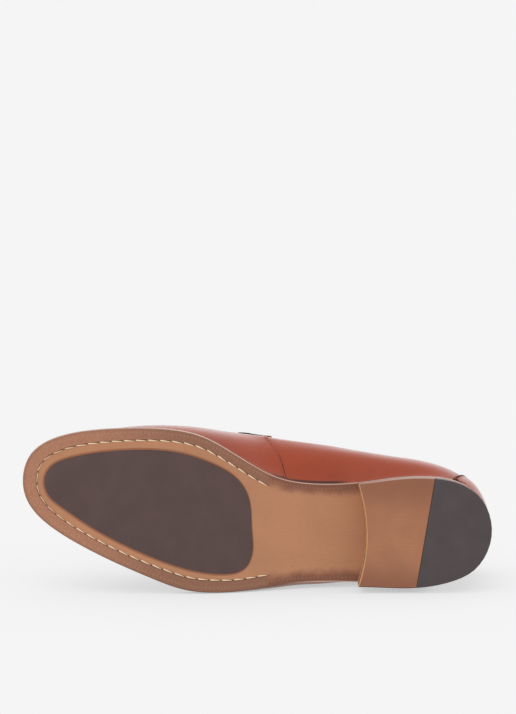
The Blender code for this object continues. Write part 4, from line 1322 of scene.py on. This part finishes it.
def build_overlays():
    calf = bpy.data.materials["cognac_calf"]
    ink = bpy.data.materials["edge_ink"]
    rows = bmesh.new()
    for name, node in (
        ("back_counter", "counter"),
        ("instep_strap", "strap"),
        ("bit_keeper_inner", "keeper_inner"),
        ("bit_keeper_outer", "keeper_outer"),
    ):
        bm = cad_copy(node, quads=True)
        if node == "counter":
            stretch_forward(bm, COUNTER_STRETCH)
            swell_quarter(bm, COUNTER_SWELL)
        if node == "strap":
            settle_strap(bm)
        sewn = node in ("counter", "strap")
        border = ink_cut_edges(bm) if sewn else None
        for face in round_edges(bm, sharp_edges(bm), OVERLAY_ROUND):
            face.material_index = 1 if sewn and face.normal.x > INK_FRONT else 0
        piece = smoothed(place_piece(name, bm, [calf, ink], [node]))
        if sewn:
            sew(rows, border, Skin(piece), FINE_STITCH, OVERLAY_SHIFT)
    place_piece("overlay_stitches", rows, [bpy.data.materials["upper_thread"]])


def build_bit():
    looks = bpy.context.scene.loafer_upper
    bm = cad_copy("bit", quads=True)
    smoothed(place_piece("brass_bit", bm, [polished_brass(looks)], ["bit"]))


def build_insole():
    looks = bpy.context.scene.loafer_upper
    bm = cad_copy("insole")
    round_edges(bm, sharp_edges(bm), INSOLE_ROUND)
    place_piece("leather_sock", bm, [insole_leather(looks)], ["insole"])


# Stage


def stand(name, data, place, turn):
    """Stands a camera or a light in the studio."""
    obj = bpy.data.objects.new(name, data)
    obj.location = place
    obj.rotation_mode = "QUATERNION"
    obj.rotation_quaternion = turn
    bpy.context.scene.collection.objects.link(obj)
    return obj


def build_floor(looks):
    bm = bmesh.new()
    bmesh.ops.create_grid(bm, x_segments=1, y_segments=1, size=FLOOR_HALF)
    mesh = bpy.data.meshes.new("floor")
    bm.to_mesh(mesh)
    bm.free()
    mesh.materials.append(studio_floor(looks))
    floor = bpy.data.objects.new("floor", mesh)
    bpy.context.scene.collection.objects.link(floor)


def build_camera(looks, middle):
    yaw = looks.camera_yaw
    rise = looks.camera_rise
    back = Vector((math.sin(yaw) * math.cos(rise), -math.cos(yaw) * math.cos(rise), math.sin(rise)))
    turn = (-back).to_track_quat("-Z", "Y")
    right = turn @ Vector((1.0, 0.0, 0.0))
    up = turn @ Vector((0.0, 1.0, 0.0))
    place = middle + right * looks.aim_right + up * looks.aim_up + back * looks.camera_distance
    camera = bpy.data.cameras.new("camera")
    camera.sensor_width = SENSOR_WIDTH
    distance_mm = looks.camera_distance / MM
    camera.lens = looks.pixels_per_mm * distance_mm * SENSOR_WIDTH / max(PICTURE_SIZE)
    camera.clip_end = 2.0 * FLOOR_HALF
    bpy.context.scene.camera = stand("camera", camera, place, turn)


def build_lights(looks, middle):
    world = bpy.data.worlds.new("white_room")
    world.use_nodes = True
    sky = world.node_tree.nodes["Background"]
    sky.inputs["Color"].default_value = (1.0, 1.0, 1.0, 1.0)
    sky.inputs["Strength"].default_value = looks.room_light
    bpy.context.scene.world = world
    key = bpy.data.lights.new("key_light", "SUN")
    key.energy = looks.key_light
    key.angle = looks.key_softness
    stand("key_light", key, KEY_PLACE, (middle - Vector(KEY_PLACE)).to_track_quat("-Z", "Y"))
    softbox = bpy.data.lights.new("softbox", "AREA")
    softbox.shape = "RECTANGLE"
    softbox.size, softbox.size_y = SOFTBOX_SIZE
    softbox.energy = looks.softbox
    turn = (middle - Vector(SOFTBOX_PLACE)).to_track_quat("-Z", "Y")
    panel = stand("softbox", softbox, SOFTBOX_PLACE, turn)
    panel.visible_diffuse = False
    panel.visible_camera = False


def build_stage():
    looks = bpy.context.scene.loafer_stage
    bpy.context.scene.view_settings.view_transform = "Standard"
    low, high = CAD_BOX
    middle = (low + high) / 2.0
    build_floor(looks)
    build_camera(looks, middle)
    build_lights(looks, middle)


class LOAFER_OT_stage(bpy.types.Operator):
    """Pale floor, soft studio light and the camera"""

    bl_idname = "loafer.stage"
    bl_label = "Stage"

    def execute(self, context):
        build_stage()
        return {"FINISHED"}


class LOAFER_OT_outsole(bpy.types.Operator):
    """Leather outsole with its burnished margin, wheel marks, stitch channel and pocket"""

    bl_idname = "loafer.outsole"
    bl_label = "Outsole"

    def execute(self, context):
        build_outsole()
        return {"FINISHED"}


class LOAFER_OT_pad(bpy.types.Operator):
    """Rubber let into the forefoot"""

    bl_idname = "loafer.pad"
    bl_label = "Forefoot rubber"

    def execute(self, context):
        build_pad()
        return {"FINISHED"}


class LOAFER_OT_sole_stitches(bpy.types.Operator):
    """Row of stitches in the sole's channel"""

    bl_idname = "loafer.sole_stitches"
    bl_label = "Sole stitches"

    def execute(self, context):
        build_sole_stitches()
        return {"FINISHED"}


class LOAFER_OT_heel(bpy.types.Operator):
    """Leather lifts of the heel, with leather and rubber top pieces"""

    bl_idname = "loafer.heel"
    bl_label = "Heel"

    def execute(self, context):
        build_heel()
        return {"FINISHED"}


class LOAFER_OT_welt(bpy.types.Operator):
    """Welt between sole and upper"""

    bl_idname = "loafer.welt"
    bl_label = "Welt"

    def execute(self, context):
        build_welt()
        return {"FINISHED"}


class LOAFER_OT_upper(bpy.types.Operator):
    """Calf upper with its lining and inked topline"""

    bl_idname = "loafer.upper"
    bl_label = "Upper"

    def execute(self, context):
        build_upper()
        return {"FINISHED"}


class LOAFER_OT_overlays(bpy.types.Operator):
    """Back counter, instep strap and keepers of the bit"""

    bl_idname = "loafer.overlays"
    bl_label = "Counter, strap and keepers"

    def execute(self, context):
        build_overlays()
        return {"FINISHED"}


class LOAFER_OT_bit(bpy.types.Operator):
    """Brass bit over the instep"""

    bl_idname = "loafer.bit"
    bl_label = "Bit"

    def execute(self, context):
        build_bit()
        return {"FINISHED"}


class LOAFER_OT_insole(bpy.types.Operator):
    """Insole under its leather sock"""

    bl_idname = "loafer.insole"
    bl_label = "Insole"

    def execute(self, context):
        build_insole()
        return {"FINISHED"}


OPERATORS = (
    LOAFER_OT_stage,
    LOAFER_OT_outsole,
    LOAFER_OT_pad,
    LOAFER_OT_sole_stitches,
    LOAFER_OT_heel,
    LOAFER_OT_welt,
    LOAFER_OT_upper,
    LOAFER_OT_overlays,
    LOAFER_OT_bit,
    LOAFER_OT_insole,
)


class LOAFER_PT_looks(bpy.types.Panel):
    """Pieces of the loafer and the sizes and colours they take"""

    bl_idname = "LOAFER_PT_looks"
    bl_label = "Loafer"
    bl_space_type = "VIEW_3D"
    bl_region_type = "UI"
    bl_category = "Loafer"

    def draw(self, context):
        for operator in OPERATORS:
            self.layout.operator(operator.bl_idname)
        for group in (context.scene.loafer_sole, context.scene.loafer_upper, context.scene.loafer_stage):
            box = self.layout.box()
            for name in group.__annotations__:
                box.prop(group, name)


GROUPS = (("loafer_sole", SoleLooks), ("loafer_upper", UpperLooks), ("loafer_stage", StageLooks))


def register():
    for name, group in GROUPS:
        bpy.utils.register_class(group)
        setattr(bpy.types.Scene, name, PointerProperty(type=group))
    for cls in (*OPERATORS, LOAFER_PT_looks):
        bpy.utils.register_class(cls)


def unregister():
    for cls in (LOAFER_PT_looks, *reversed(OPERATORS)):
        bpy.utils.unregister_class(cls)
    for name, group in reversed(GROUPS):
        delattr(bpy.types.Scene, name)
        bpy.utils.unregister_class(group)


def main():
    register()
    bpy.ops.loafer.stage()
    bpy.ops.loafer.outsole()
    bpy.ops.loafer.pad()
    bpy.ops.loafer.sole_stitches()
    bpy.ops.loafer.heel()
    bpy.ops.loafer.welt()
    bpy.ops.loafer.upper()
    bpy.ops.loafer.overlays()
    bpy.ops.loafer.bit()
    bpy.ops.loafer.insole()


if __name__ == "__main__":
    main()
